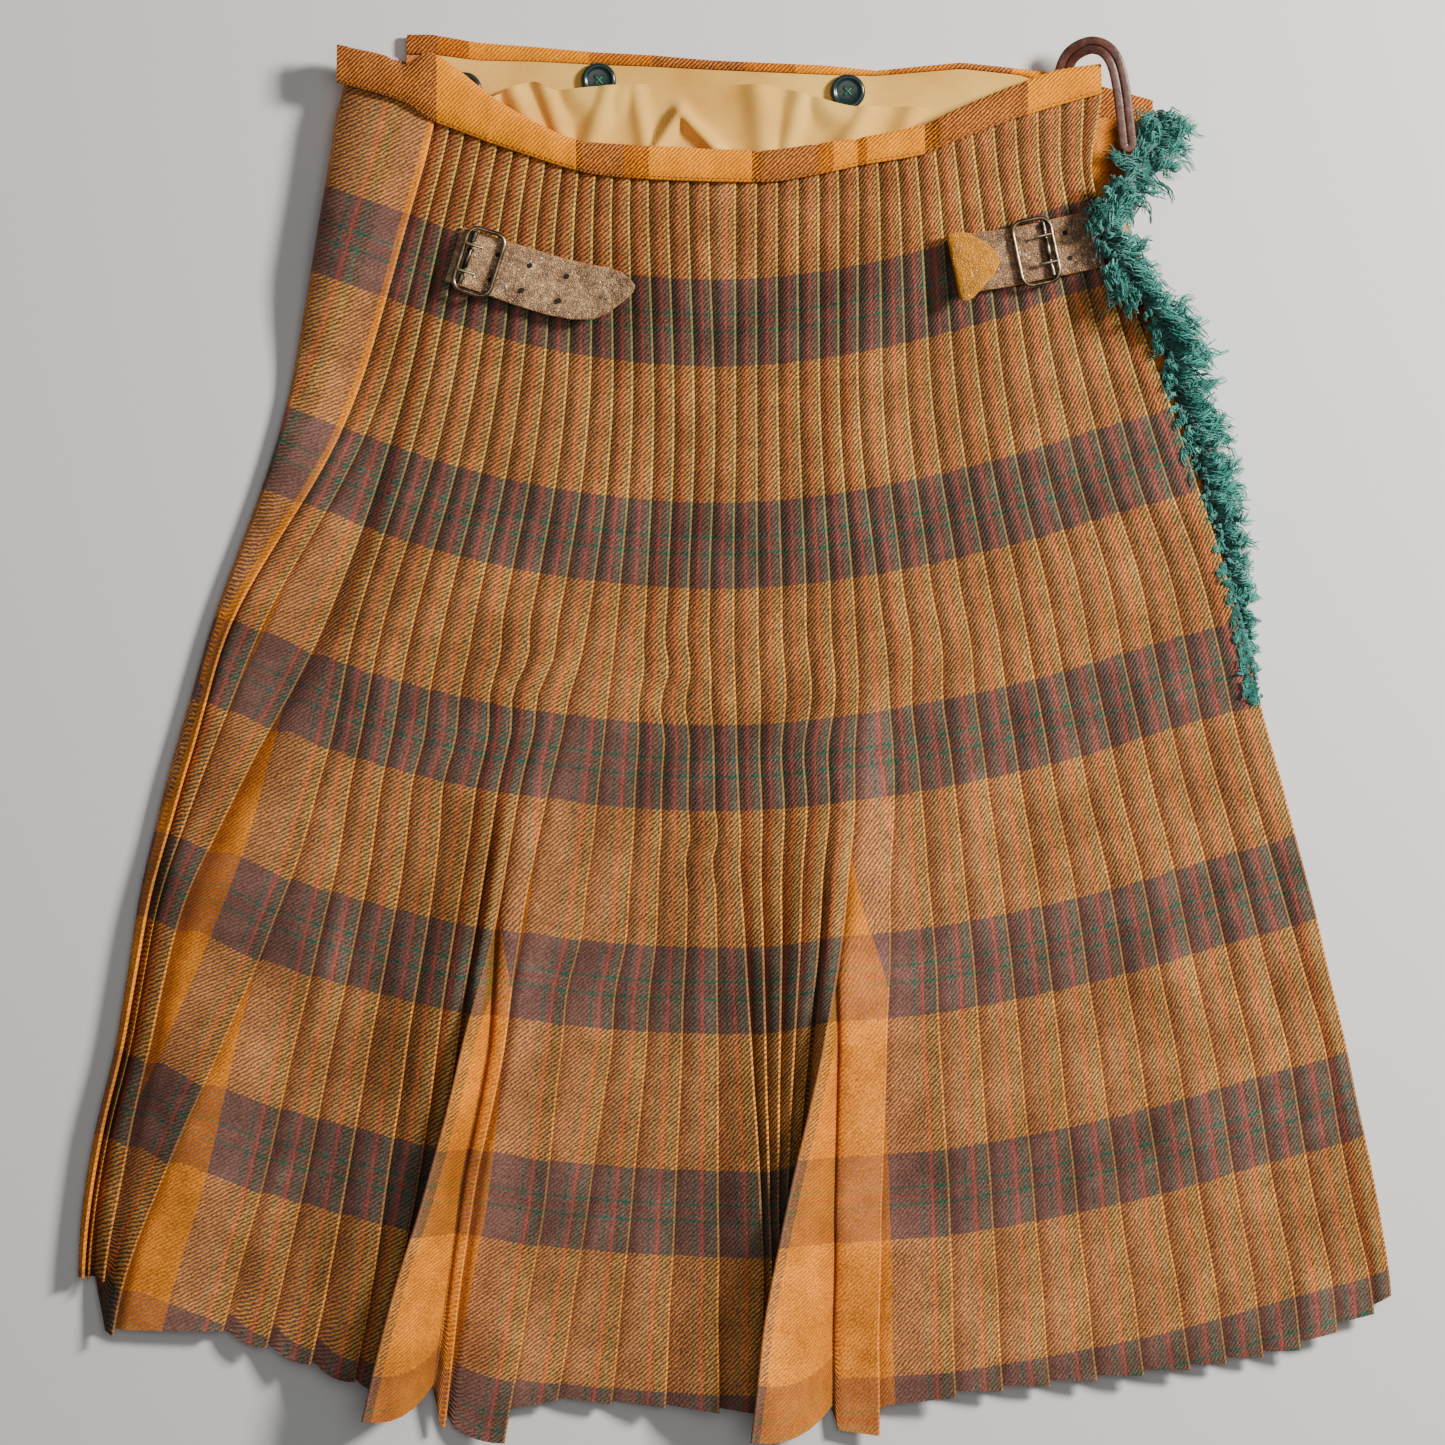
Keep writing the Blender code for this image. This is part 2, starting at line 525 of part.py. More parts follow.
def loft_solid(name, rings):
    """Closed solid through rings, with one flat face on each end."""
    shape = bmesh.new()
    corners = skin_rings(shape, rings)
    shape.faces.new(corners[0])
    shape.faces.new(corners[-1])
    return finish_mesh(name, shape)


def sheet_mesh(name, rows, thickness):
    """Cloth wall from rows of middle points; the two skins are one closed ring per row."""
    rings = []
    for row in rows:
        upper, lower = wall_from_middle(row, thickness)
        rings.append(upper + lower[::-1])
    return loft_wall(name, rings)


def make_pleated_back(collection, material):
    rows = [pleat_section(row) for row in ROWS]
    return add_object("pleated_back", sheet_mesh("pleated_back", rows, PLEAT_WALL),
                      collection, material)


def make_back_band(collection, material):
    """A strip folded over the top edge of the back, its outer leg on the pleats."""
    rings = []
    for x in sorted([row[0] for row in BACK_BAND] + list(BAND_ALSO_AT)):
        low = band_low(x)
        high = band_high(x)
        base = base_height(x, low)
        under = base - PLEAT_WALL / 2 - SEAM - BAND_WALL
        over = base + TOP_OF_PLEATS + SEAM + BAND_WALL
        inside_y = low + BAND_TAKES_IN + BAND_SLACK
        inner_low = low if x > BAND_INNER_FROM + 3.0 else inside_y + 0.1
        apex = base + 3.4
        if x < BAND_INNER_FROM:
            under = over - 2.6 * BAND_WALL
            apex = over - 1.6
        ring = (
            (x, low, over), (x, blend(low, high, 0.55), over + 0.2),
            (x, high - 1.6, over - 0.9), (x, high, apex),
            (x, high - 1.2, under + 0.6), (x, blend(inner_low, high, 0.5), under),
            (x, inner_low, under), (x, inner_low, under + BAND_WALL),
            (x, inside_y + 0.1, under + BAND_WALL),
            (x, inside_y, over - BAND_WALL), (x, low, over - BAND_WALL),
        )
        rings.append(ring)
    return add_object("waistband_back", loft_solid("waistband_back", rings), collection, material)


def over_apron_row(y_row, left, flat_end, free_width, curl):
    """One row of the over apron: flat on the surface, its free edge curled up over the hip."""
    points = []
    turn = math.pi * curl + 0.001
    for share in APRON_ACROSS:
        x = blend(left, flat_end, share)
        points.append((x, y_row(x), CLOTH / 2))
    for share in (0.25, 0.5, 0.75, 1.0):
        angle = turn * share
        x = flat_end + free_width / turn * math.sin(angle)
        z = CLOTH / 2 + free_width / turn * (1.0 - math.cos(angle))
        points.append((x, y_row(x), z))
    return points


def apron_top_y(x):
    return read_line(APRON_TOP, x)


def over_apron_rows():
    """Middle points of the over apron: straight under its band, sagging a little at the hem."""
    rows = []
    top = APRON_ROWS[0][0]
    bottom = APRON_ROWS[-1][0]
    for y, past_edge, free_width, curl in APRON_ROWS:
        share = (top - y) / (top - bottom)
        left = fold_x(-1, y) + SIDE_WRAP + APRON_LEFT_GAP
        flat_end = fold_x(PLEATS, y) + past_edge

        def y_row(x, y=y, share=share):
            rise = (apron_top_y(x) - OVER_BAND_HEIGHT - OVER_BAND_GAP - top) * max(0.0, 1.0 - share * 6.0)
            sag = (apron_hem_y(x) - bottom) * max(0.0, share * 2.0 - 1.0)
            return y + rise + sag

        rows.append(over_apron_row(y_row, left, flat_end, free_width, curl))
    return rows


def make_over_apron(collection, material):
    return add_object("over_apron", sheet_mesh("over_apron", over_apron_rows(), CLOTH),
                      collection, material)


def make_over_band(collection, material):
    rings = []
    for x, high in APRON_TOP:
        low = high - OVER_BAND_HEIGHT
        rings.append([(x, low, 0.0), (x, high - 0.5, 0.0), (x, high, CLOTH / 2),
                      (x, high - 0.5, CLOTH), (x, low, CLOTH)])
    return add_object("waistband_over", loft_solid("waistband_over", rings), collection, material)


def front_low(x):
    return read_line([(row[0], row[2]) for row in FRONT_BAND], x)


def make_under_apron(collection, material):
    rows = []
    for share in UNDER_ROWS:
        row = []
        for top_x, _, band_edge in FRONT_BAND:
            across = (top_x - FRONT_BAND[0][0]) / (FRONT_BAND[-1][0] - FRONT_BAND[0][0])
            top = band_edge - SEAM
            y = blend(top, APRON_ROWS[-1][0] + UNDER_APRON_SHORT, share)
            left = read_line(UNDER_LEFT, y)
            right = read_line(UNDER_RIGHT, y)
            x = blend(left, right, across) if share else top_x
            sag = (apron_hem_y(x) - APRON_ROWS[-1][0]) * max(0.0, share * 2.0 - 1.0)
            row.append((x, y + sag, UNDER_APRON_Z))
        rows.append(row)
    return add_object("under_apron", sheet_mesh("under_apron", rows, CLOTH), collection, material)


def make_front_band(collection, material):
    z = CLOTH + SEAM
    rings = []
    for x, high, low in FRONT_BAND:
        rings.append([(x, low, z), (x, high - 0.7, z), (x, high, z + FRONT_BAND_THICK / 2),
                      (x, high - 0.7, z + FRONT_BAND_THICK), (x, low, z + FRONT_BAND_THICK)])
    return add_object("waistband_front", loft_solid("waistband_front", rings), collection, material)


def make_facing(collection, material):
    rows = []
    for share in (0.0, 0.25, 0.5, 1.0):
        row = []
        for x in FACING_ACROSS:
            top = front_low(x) - SEAM
            row.append((x, blend(top, FACING_LOW_Y, share), FACING_Z))
        rows.append(row)
    return add_object("lining_facing", sheet_mesh("lining_facing", rows, FACING_WALL),
                      collection, material)


def lower_lining_z(x, y):
    """The loose lining: flat on the facing, lifted over the middle button and by one fold."""
    near_button = min(math.hypot(x - place[0], y - place[1]) for place in BUTTONS.values())
    lift = 3.1 * (1.0 - smoothstep(BUTTON_RADIUS + 3.5, BUTTON_RADIUS + 16.0, near_button))
    fold = 2.6 * math.exp(-((x + 25.0) / 11.0) ** 2)
    fold *= (1.0 - smoothstep(275.0, 305.0, y)) * smoothstep(256.0, 272.0, y)
    return LOWER_LINING_Z + max(lift, fold)


def make_lower_lining(collection, material):
    rows = []
    low_x = LOWER_LINING_TOP[0][0]
    high_x = LOWER_LINING_TOP[-1][0]
    for share in (0.0, 0.12, 0.25, 0.4, 0.6, 1.0):
        row = []
        for step in range(31):
            x = blend(low_x, high_x, step / 30.0)
            y = blend(read_line(LOWER_LINING_TOP, x), LOWER_LINING_LOW_Y, share)
            row.append((x, y, lower_lining_z(x, y)))
        rows.append(row)
    return add_object("lining_lower", sheet_mesh("lining_lower", rows, FACING_WALL),
                      collection, material)


def make_button(name, centre, collection, material):
    """A turned button: flat back on the facing, raised rim, dished middle."""
    low = FACING_Z + FACING_WALL / 2 + SEAM
    top = low + BUTTON_THICK
    profile = ((BUTTON_RADIUS - 1.0, low), (BUTTON_RADIUS, low + 1.0),
               (BUTTON_RADIUS - 0.4, top - 0.4), (BUTTON_RADIUS - 1.6, top),
               (BUTTON_DISH, top - 0.8))
    rings = []
    for radius, z in profile:
        angles = [2.0 * math.pi * i / BUTTON_SIDES for i in range(BUTTON_SIDES)]
        rings.append([(centre[0] + radius * math.cos(angle), centre[1] + radius * math.sin(angle), z)
                      for angle in angles])
    return add_object(name, loft_solid(name, rings), collection, material)


def pleat_top(x, y):
    """Height of a thing that lies on the closed pleats."""
    return base_height(x, y) + TOP_OF_PLEATS + SEAM


def buckle_place(buckle, along, across):
    """World x, y of a point given along the strap and across it from the buckle's middle."""
    turn = math.radians(buckle["turn"])
    x = buckle["centre"][0] + along * math.cos(turn) - across * math.sin(turn)
    y = buckle["centre"][1] + along * math.sin(turn) + across * math.cos(turn)
    return x, y


def strap_rows(buckle, table):
    """Middle points of a strap: five across, at each distance in its table."""
    rows = []
    for along, drift, half, rise in table:
        row = []
        for side in (-1.0, -0.5, 0.0, 0.5, 1.0):
            x, y = buckle_place(buckle, along, side * half + drift)
            row.append(Vector((x, y, pleat_top(x, y) - STRAP_SINK + STRAP_THICK / 2 + rise)))
        level = max(point.z for point in row)
        rows.append([(point.x, point.y, blend(point.z, level, 0.7)) for point in row])
    return rows


def slab_rings(rows):
    """Rings of a strap: its two faces lie straight above each other."""
    half = STRAP_THICK / 2.0
    return [[(x, y, z + half) for x, y, z in row] + [(x, y, z - half) for x, y, z in row[::-1]]
            for row in rows]


def make_strap_left(collection, material):
    rings = slab_rings(strap_rows(BUCKLE_LEFT, STRAP_LEFT))
    return add_object("strap_left", loft_wall("strap_left", rings), collection, material)


def make_strap_right(collection, material):
    """The apron's strap: from its end under the fringe, through the buckle, tip folded back."""
    rows = strap_rows(BUCKLE_RIGHT, STRAP_RIGHT)
    rings = slab_rings(rows)
    half = STRAP_THICK / 2.0
    last = rows[-1]
    turn = math.radians(BUCKLE_RIGHT["turn"])
    along = Vector((math.cos(turn), math.sin(turn), 0.0))
    turned = []
    for advance, rise, tilt in STRAP_TURN:
        normal = Vector((math.sin(tilt) * along.x, math.sin(tilt) * along.y, math.cos(tilt)))
        upper = []
        lower = []
        for index, point in enumerate(last):
            slant = (2 - index) * (TURN_SLANT if advance > 0.0 else 0.0)
            place = Vector(point) + along * (advance + slant) + Vector((0.0, 0.0, rise))
            upper.append(tuple(place + normal * half))
            lower.append(tuple(place - normal * half))
        turned.append(upper + lower[::-1])
    return add_object("strap_right", loft_wall("strap_right", rings + turned), collection, material)


def wire_object(name, path, radius, closed, collection, material):
    """Round wire along a path of points in millimetres."""
    curve = bpy.data.curves.new(name, "CURVE")
    curve.dimensions = "3D"
    curve.bevel_depth = radius * MM
    curve.bevel_resolution = 1
    curve.use_fill_caps = not closed
    spline = curve.splines.new("POLY")
    spline.points.add(len(path) - 1)
    for corner, place in zip(spline.points, path):
        corner.co = (place[0] * MM, place[1] * MM, place[2] * MM, 1.0)
    spline.use_cyclic_u = closed
    item = bpy.data.objects.new(name, curve)
    collection.objects.link(item)
    curve.materials.append(material)
    return item


def frame_path(buckle, over_side):
    """A rounded rectangle round the strap: above it on one side, under its edge on the other."""
    half_x = FRAME_WIDTH / 2.0
    half_y = FRAME_LENGTH / 2.0
    corner = 4.0
    path = []
    for sign_x, sign_y, start in ((1, 1, 0), (-1, 1, 90), (-1, -1, 180), (1, -1, 270)):
        for step in range(4):
            angle = math.radians(start + 30.0 * step)
            along = sign_x * (half_x - corner) + corner * math.cos(angle)
            across = sign_y * (half_y - corner) + corner * math.sin(angle)
            x, y = buckle_place(buckle, along, across)
            lift = STRAP_THICK - STRAP_SINK + BUCKLE_RISE
            path.append((x, y, pleat_top(x, y) + lift + 0.35 * over_side * along / half_x))
    level = max(point[2] for point in path)
    return [(x, y, blend(z, level, 0.75)) for x, y, z in path]


def make_buckle(side, buckle, over_side, collection, steel, brass):
    """Wire frame, the bar that the prongs turn on, and two prongs lying across it."""
    path = frame_path(buckle, over_side)
    wire_object("buckle_" + side, path, WIRE, True, collection, steel)
    level = max(point[2] for point in path)
    bar_along = -over_side * (FRAME_WIDTH / 2.0 - 3.4)
    reach = FRAME_LENGTH / 2.0 - 2.0 * WIRE - SEAM
    bar = [buckle_place(buckle, bar_along, across) + (level - 0.4,)
           for across in (-reach, 0.0, reach)]
    wire_object("bar_" + side, bar, WIRE, False, collection, steel)
    for number, across in ((1, -6.6), (2, 6.6)):
        prong = []
        for share, rise in ((-0.25, 1.3), (0.3, 2.25), (0.75, 2.3), (1.08, 2.25)):
            along = blend(bar_along + over_side * 3.6, -over_side * FRAME_WIDTH / 2.0, share)
            prong.append(buckle_place(buckle, along, across) + (level + rise - 0.2,))
        wire_object("prong_%s_%d" % (side, number), prong, PRONG, False, collection, brass)


def make_loop(collection, material):
    """A thong out to the tip and back beside itself: one flat band round a narrow slit."""
    out = []
    back = []
    last = len(LOOP_PATH) - 1
    for index, place in enumerate(LOOP_PATH):
        here = Vector(place)
        ahead = Vector(LOOP_PATH[min(index + 1, last)]) - Vector(LOOP_PATH[max(index - 1, 0)])
        side = Vector((-ahead.y, ahead.x, 0.0)).normalized()
        out.append(here + side * LOOP_SPREAD)
        back.append(here - side * LOOP_SPREAD)
    ahead = ahead.normalized()
    route = list(out)
    for angle in (30.0, 60.0, 90.0, 120.0, 150.0):
        turn = math.radians(angle)
        route.append(Vector(LOOP_PATH[-1]) + side * (LOOP_SPREAD * math.cos(turn))
                     + ahead * (LOOP_SPREAD * math.sin(turn)))
    route += reversed(back)
    rings = []
    for index, here in enumerate(route):
        ahead = route[min(index + 1, len(route) - 1)] - route[max(index - 1, 0)]
        flat = Vector((-ahead.y, ahead.x, 0.0)).normalized() * (LOOP_WIDTH / 2.0)
        up = ahead.cross(flat).normalized() * (LOOP_THICK / 2.0)
        rings.append([tuple(here + flat + up), tuple(here - flat + up),
                      tuple(here - flat - up), tuple(here + flat - up)])
    return add_object("hanger_loop", loft_solid("hanger_loop", rings), collection, material)


def fringe_stations():
    """Middles of the fringe's woven strip, just off the apron's free edge, and its turn there."""
    edge = [row[-1] for row in over_apron_rows()]
    edge_x = [(y, x) for x, y, z in edge]
    edge_z = [(y, z) for x, y, z in edge]
    edge_turn = [(point[1], math.pi * row[3]) for point, row in zip(edge, APRON_ROWS)]
    heights = []
    for (start, _), (end, _) in zip(edge_x, edge_x[1:]):
        steps = math.ceil((start - end) / FRINGE_STEP)
        heights += [blend(start, end, step / steps) for step in range(steps)]
    stations = []
    for y in [y for y in heights if FRINGE_LOW_Y < y < FRINGE_TOP_Y]:
        turn = read_line(edge_turn, y)
        across = max(abs(math.cos(turn)), abs(math.sin(turn)))
        reach = SEAM + FRINGE_CLEAR + FRINGE_HALF_WIDTH / across
        x = read_line(edge_x, y) + reach * math.cos(turn)
        z = read_line(edge_z, y) + reach * math.sin(turn)
        stations.append((Vector((x, y, max(z, FRINGE_LOW_Z))), turn))
    return stations


def make_fringe(collection, material):
    """A woven strip with a row of tapered wool locks drawn out of each free face of it."""
    chance = random.Random(LOCK_SEED)
    shape = bmesh.new()
    half_x = FRINGE_HALF_WIDTH
    half_z = FRINGE_HALF_HEIGHT
    section = ((-half_x, -half_z), (half_x, -half_z), (half_x, half_z), (0.0, half_z),
               (-half_x, half_z))
    stations = fringe_stations()
    rings = [[shape.verts.new((middle + Vector((a, 0.0, b))) * MM) for a, b in section]
             for middle, turn in stations]
    shape.faces.new(rings[0])
    shape.faces.new(rings[-1])
    for step in range(len(stations) - 1):
        ring_a = rings[step]
        ring_b = rings[step + 1]
        y = stations[step][0].y
        length, outer, upper, inner = (read_line([(row[0], row[column]) for row in LOCK_ROWS], y)
                                       for column in (1, 2, 3, 4))
        edge_turned_back = stations[step][1] > TURNED_BACK
        leans = {4: 180.0 - outer} if edge_turned_back else {1: outer}
        if y > LOCK_TOP_FROM:
            leans[2] = upper
            leans[3] = inner
        drift = LOCK_DRIFT * math.sin(0.4 * step) - LOCK_DRIFT
        for side in range(5):
            k = (side + 1) % 5
            cell = (ring_a[side], ring_a[k], ring_b[k], ring_b[side])
            if side in leans:
                lean = leans[side] + chance.uniform(-LOCK_LEAN_SPREAD, LOCK_LEAN_SPREAD)
                grow_lock(shape, cell, math.radians(lean), drift, length * chance.uniform(0.8, 1.1))
            else:
                shape.faces.new(cell)
    return add_object("fringe", finish_mesh("fringe", shape), collection, material)


def grow_lock(shape, cell, lean, drift, reach):
    """Draws one face of the strip out into a lock of two lengths that thins and droops."""
    middle = sum((corner.co for corner in cell), Vector()) / 4.0
    heading = Vector((math.cos(lean), drift, math.sin(lean))).normalized()
    droop = Vector((0.3 if math.cos(lean) > -0.2 else -0.3, drift, -0.45))
    knee = middle + heading * (0.55 * reach * MM)
    tip = knee + (heading + droop).normalized() * (0.45 * reach * MM)
    previous = list(cell)
    for centre, width in zip((knee, tip), LOCK_WIDTHS):
        centre.z = max(centre.z, LOCK_FLOOR * MM)
        ring = [shape.verts.new(centre + (corner.co - middle) * width) for corner in cell]
        for i in range(4):
            k = (i + 1) % 4
            shape.faces.new((previous[i], previous[k], ring[k], ring[i]))
        previous = ring
    shape.faces.new(previous)


def main():
    clear_scene()
    kilt = make_collection("kilt")
    tartan = make_material("saffron_tartan", TAN, 0.85)
    apron_cloth = make_material("apron_tartan", TAN, 0.85)
    binding = make_material("binding_tartan", SAFFRON, 0.85)
    lining = make_material("lining_twill", CREAM, 0.8)
    leather = make_material("strap_leather", LEATHER, 0.55)
    thong = make_material("thong_leather", THONG, 0.45)
    steel = make_material("dark_steel", STEEL, 0.3, 1.0)
    brass = make_material("pale_brass", BRASS, 0.3, 1.0)
    wool = make_material("fringe_wool", TEAL, 0.9)
    horn = make_material("button_dark", BUTTON_GREEN, 0.3)

    make_over_apron(kilt, apron_cloth)
    make_over_band(kilt, binding)
    make_under_apron(kilt, apron_cloth)
    make_front_band(kilt, binding)
    make_facing(kilt, lining)
    make_lower_lining(kilt, lining)
    for name, centre in BUTTONS.items():
        make_button(name, centre, kilt, horn)
    make_pleated_back(kilt, tartan)
    make_back_band(kilt, binding)
    make_strap_left(kilt, leather)
    make_strap_right(kilt, leather)
    make_buckle("left", BUCKLE_LEFT, 1.0, kilt, steel, brass)
    make_buckle("right", BUCKLE_RIGHT, -1.0, kilt, steel, brass)
    make_loop(kilt, thong)
    make_fringe(kilt, wool)


main()
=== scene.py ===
"""A kilt laid flat on its front, back up, dressed piece by piece in the order it is put together."""
import math
import random

import bmesh
import bpy
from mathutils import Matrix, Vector, noise


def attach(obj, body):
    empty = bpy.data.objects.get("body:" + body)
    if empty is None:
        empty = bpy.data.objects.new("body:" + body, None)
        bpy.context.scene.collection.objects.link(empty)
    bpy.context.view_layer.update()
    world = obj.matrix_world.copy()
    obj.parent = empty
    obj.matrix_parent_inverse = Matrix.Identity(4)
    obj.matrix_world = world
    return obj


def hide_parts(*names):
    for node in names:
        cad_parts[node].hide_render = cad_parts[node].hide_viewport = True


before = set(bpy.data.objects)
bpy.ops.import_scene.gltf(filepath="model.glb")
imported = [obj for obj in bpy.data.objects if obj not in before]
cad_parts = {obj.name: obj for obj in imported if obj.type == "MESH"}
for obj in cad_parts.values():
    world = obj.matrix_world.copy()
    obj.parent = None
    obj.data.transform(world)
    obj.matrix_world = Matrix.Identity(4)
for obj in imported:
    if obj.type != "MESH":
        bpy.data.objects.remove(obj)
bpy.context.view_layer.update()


# The studio: a plain pale floor, a soft key light from the right that rakes across the folds, a
# weaker fill from the left and above, and a long lens looking straight down.
CAMERA_HEIGHT = 2.2
CAMERA_OVER = (-0.0051, 0.0073)
FRAME_WIDTH_M = 0.7008
SENSOR_MM = 36.0
LIGHTS = (
    # name, place, size, watts, colour
    ("key", (1.44, 0.72, 1.04), 0.34, 77.0, (1.0, 0.97, 0.91)),
    ("fill", (-1.1, 0.6, 1.6), 1.6, 1.2, (0.90, 0.95, 1.0)),
    ("top", (0.3, 0.1, 2.3), 1.4, 12.0, (1.0, 0.98, 0.95)),
)
ROOM_LIGHT = (0.80, 0.82, 0.85, 1.0)
ROOM_STRENGTH = 0.10
FLOOR_PAPER = (0.72, 0.72, 0.71, 1.0)
FLOOR_REACH = 6.0
FLOOR_DROP = 0.0004         # just under the garment, so that the two surfaces never share a place


def make_camera():
    data = bpy.data.cameras.new("camera")
    data.sensor_width = SENSOR_MM
    data.lens = SENSOR_MM * CAMERA_HEIGHT / FRAME_WIDTH_M
    camera = bpy.data.objects.new("camera", data)
    camera.location = (CAMERA_OVER[0], CAMERA_OVER[1], CAMERA_HEIGHT)
    bpy.context.scene.collection.objects.link(camera)
    bpy.context.scene.camera = camera


def make_lights():
    for name, place, size, watts, colour in LIGHTS:
        data = bpy.data.lights.new(name, "AREA")
        data.size = size
        data.energy = watts
        data.color = colour
        lamp = bpy.data.objects.new(name, data)
        lamp.location = place
        lamp.rotation_euler = Vector(place).to_track_quat("Z", "Y").to_euler()
        bpy.context.scene.collection.objects.link(lamp)
    world = bpy.data.worlds.new("studio")
    world.use_nodes = True
    background = world.node_tree.nodes["Background"]
    background.inputs["Color"].default_value = ROOM_LIGHT
    background.inputs["Strength"].default_value = ROOM_STRENGTH
    bpy.context.scene.world = world


def make_floor():
    data = bpy.data.meshes.new("floor")
    corners = ((-1, -1), (1, -1), (1, 1), (-1, 1))
    data.from_pydata([(x * FLOOR_REACH, y * FLOOR_REACH, -FLOOR_DROP) for x, y in corners], [],
                     [(0, 1, 2, 3)])
    floor = bpy.data.objects.new("floor", data)
    bpy.context.scene.collection.objects.link(floor)
    material = bpy.data.materials.new("floor_paper")
    material.use_nodes = True
    shader = material.node_tree.nodes["Principled BSDF"]
    shader.inputs["Base Color"].default_value = FLOOR_PAPER
    shader.inputs["Roughness"].default_value = 0.85
    data.materials.append(material)


make_camera()
make_lights()
make_floor()


# The pleated back: 35 knife pleats in worsted tartan, each pressed over the next, stitched down at
# the hips and free below, with two pleats standing open. One cloth, folded along the maker's lines.
MM = 0.001                  # every size below is in millimetres
PLEATS = 35
BACK_WALL = 0.8             # thickness of the cloth
LAYER = 1.55                # height of a folded layer over the one under it
CREASE_GAP = 1.15           # the two layers of a pressed crease lie closer than loose layers
TUCK = 0.85                 # a fold runs back under by this share of its pleat's width
MIN_TUCK_STEP = 3.6         # the hidden inner folds keep at least this far apart
SLANTED_TUCKS = 8           # the first inner folds slant along with their creases
FACE_CROWN = 0.5            # a pleat's face swells by this, or by its share of the width if less
CROWN_SHARE = 0.06
BACK_ROWS = 76              # rows of points from binding to hem, and points across a pleat's face
FACE_STEPS = 5
CREASE_EDGE = 0.7           # a crease's shading keeps to this strip beside it
BASE_WAIST = 12.0           # height of the lowest layer at the waist, the body and past the hem
BASE_BODY = 3.5
BASE_HEM = 2.0
WAIST_SLOPE = (180.0, 252.0)    # it climbs to the waist between these two heights of y
HEM_DROP = (12.0, 55.0)         # and sinks between these distances past the over apron's hem
LEVELS = (309.0, 265.0, 149.0, 56.5, -11.0, -79.0, -147.0, -215.0, -268.0, -326.0)
FOLD_LINES = {
    # x of a fold's crease at each of the LEVELS; the folds between two rows share their distance
    -1: (-191.0, -197.5, -219.5, -252.0, -271.5, -288.0, -299.0, -314.0, -317.5, -318.0),
    0: (-141.0, -152.0, -189.0, -242.0, -262.5, -282.0, -294.5, -309.5, -314.0, -314.5),
    1: (-133.5, -143.5, -177.0, -226.5, -253.5, -277.5, -291.0, -306.5, -311.5, -312.0),
    2: (-125.5, -135.5, -164.0, -196.5, -231.5, -264.5, -281.5, -296.0, -304.3, -304.5),
    3: (-117.5, -126.5, -153.0, -182.0, -196.5, -217.5, -246.0, -276.5, -295.5, -304.0),
    4: (-109.0, -118.0, -141.0, -169.0, -182.5, -195.5, -211.5, -226.5, -242.0, -256.0),
    7: (-85.0, -92.5, -106.0, -125.5, -137.0, -146.5, -157.0, -167.0, -174.0, -185.5),
    8: (-77.0, -84.0, -94.5, -111.5, -121.0, -133.0, -142.5, -152.0, -162.5, -173.5),
    10: (-60.5, -67.0, -70.5, -84.5, -100.0, -113.0, -123.5, -137.0, -144.0, -150.0),
    11: (-52.5, -58.5, -59.0, -70.5, -86.0, -100.5, -110.5, -124.5, -132.0, -138.5),
    12: (-45.0, -50.0, -49.0, -56.5, -64.0, -71.5, -83.0, -89.5, -98.5, -108.0),
    13: (-37.0, -41.0, -38.5, -43.0, -47.0, -50.5, -59.0, -68.5, -77.0, -86.0),
    16: (-8.5, -12.0, -9.0, -12.0, -9.5, -8.5, -7.5, -7.5, -7.5, -7.0),
    17: (2.5, 1.0, 1.0, 0.0, 2.0, 4.5, 8.5, 13.0, 14.5, 15.0),
    21: (40.0, 41.0, 42.0, 47.5, 47.5, 43.0, 36.5, 31.5, 30.5, 30.5),
    22: (49.0, 50.5, 51.5, 59.0, 59.5, 55.0, 43.0, 39.5, 38.5, 38.5),
    23: (58.0, 60.0, 61.0, 72.0, 77.5, 76.0, 74.0, 72.0, 71.0, 70.5),
    24: (66.5, 70.0, 73.0, 84.0, 89.0, 95.5, 99.5, 103.5, 105.5, 107.5),
    29: (113.0, 118.0, 134.0, 154.5, 168.0, 183.0, 195.0, 205.5, 215.0, 224.0),
    34: (168.5, 169.0, 202.0, 231.5, 246.5, 266.0, 284.5, 297.0, 308.0, 312.0),
    35: (177.0, 173.5, 215.0, 244.0, 261.5, 279.5, 295.0, 309.5, 317.5, 317.5),
}
HEM_LINE = {
    # y where a fold's crease ends
    -1: -261.0, 2: -262.5, 3: -289.0, 4: -287.0, 7: -309.5, 9: -318.0, 10: -327.0, 12: -340.5,
    13: -320.5, 16: -325.0, 21: -327.5, 22: -337.0, 23: -337.5, 24: -318.5, 29: -305.5,
    32: -296.0, 35: -270.0,
}
HEM_NEXT_RISE = 2.4         # a pleat's hem starts this far above the lower end of its two creases
HEM_NEXT_DROP = 3.9         # but no further than this below the end of its own
HEM_FROM = 0.86             # hidden hems draw up from this share of the length on
HEM_HIDDEN = 3.6            # by this at least
HEM_HIDDEN_MOST = 12.0      # and by up to this more where the outer layer ends higher
HEM_HIDDEN_AFTER = 4        # in the folds after this one
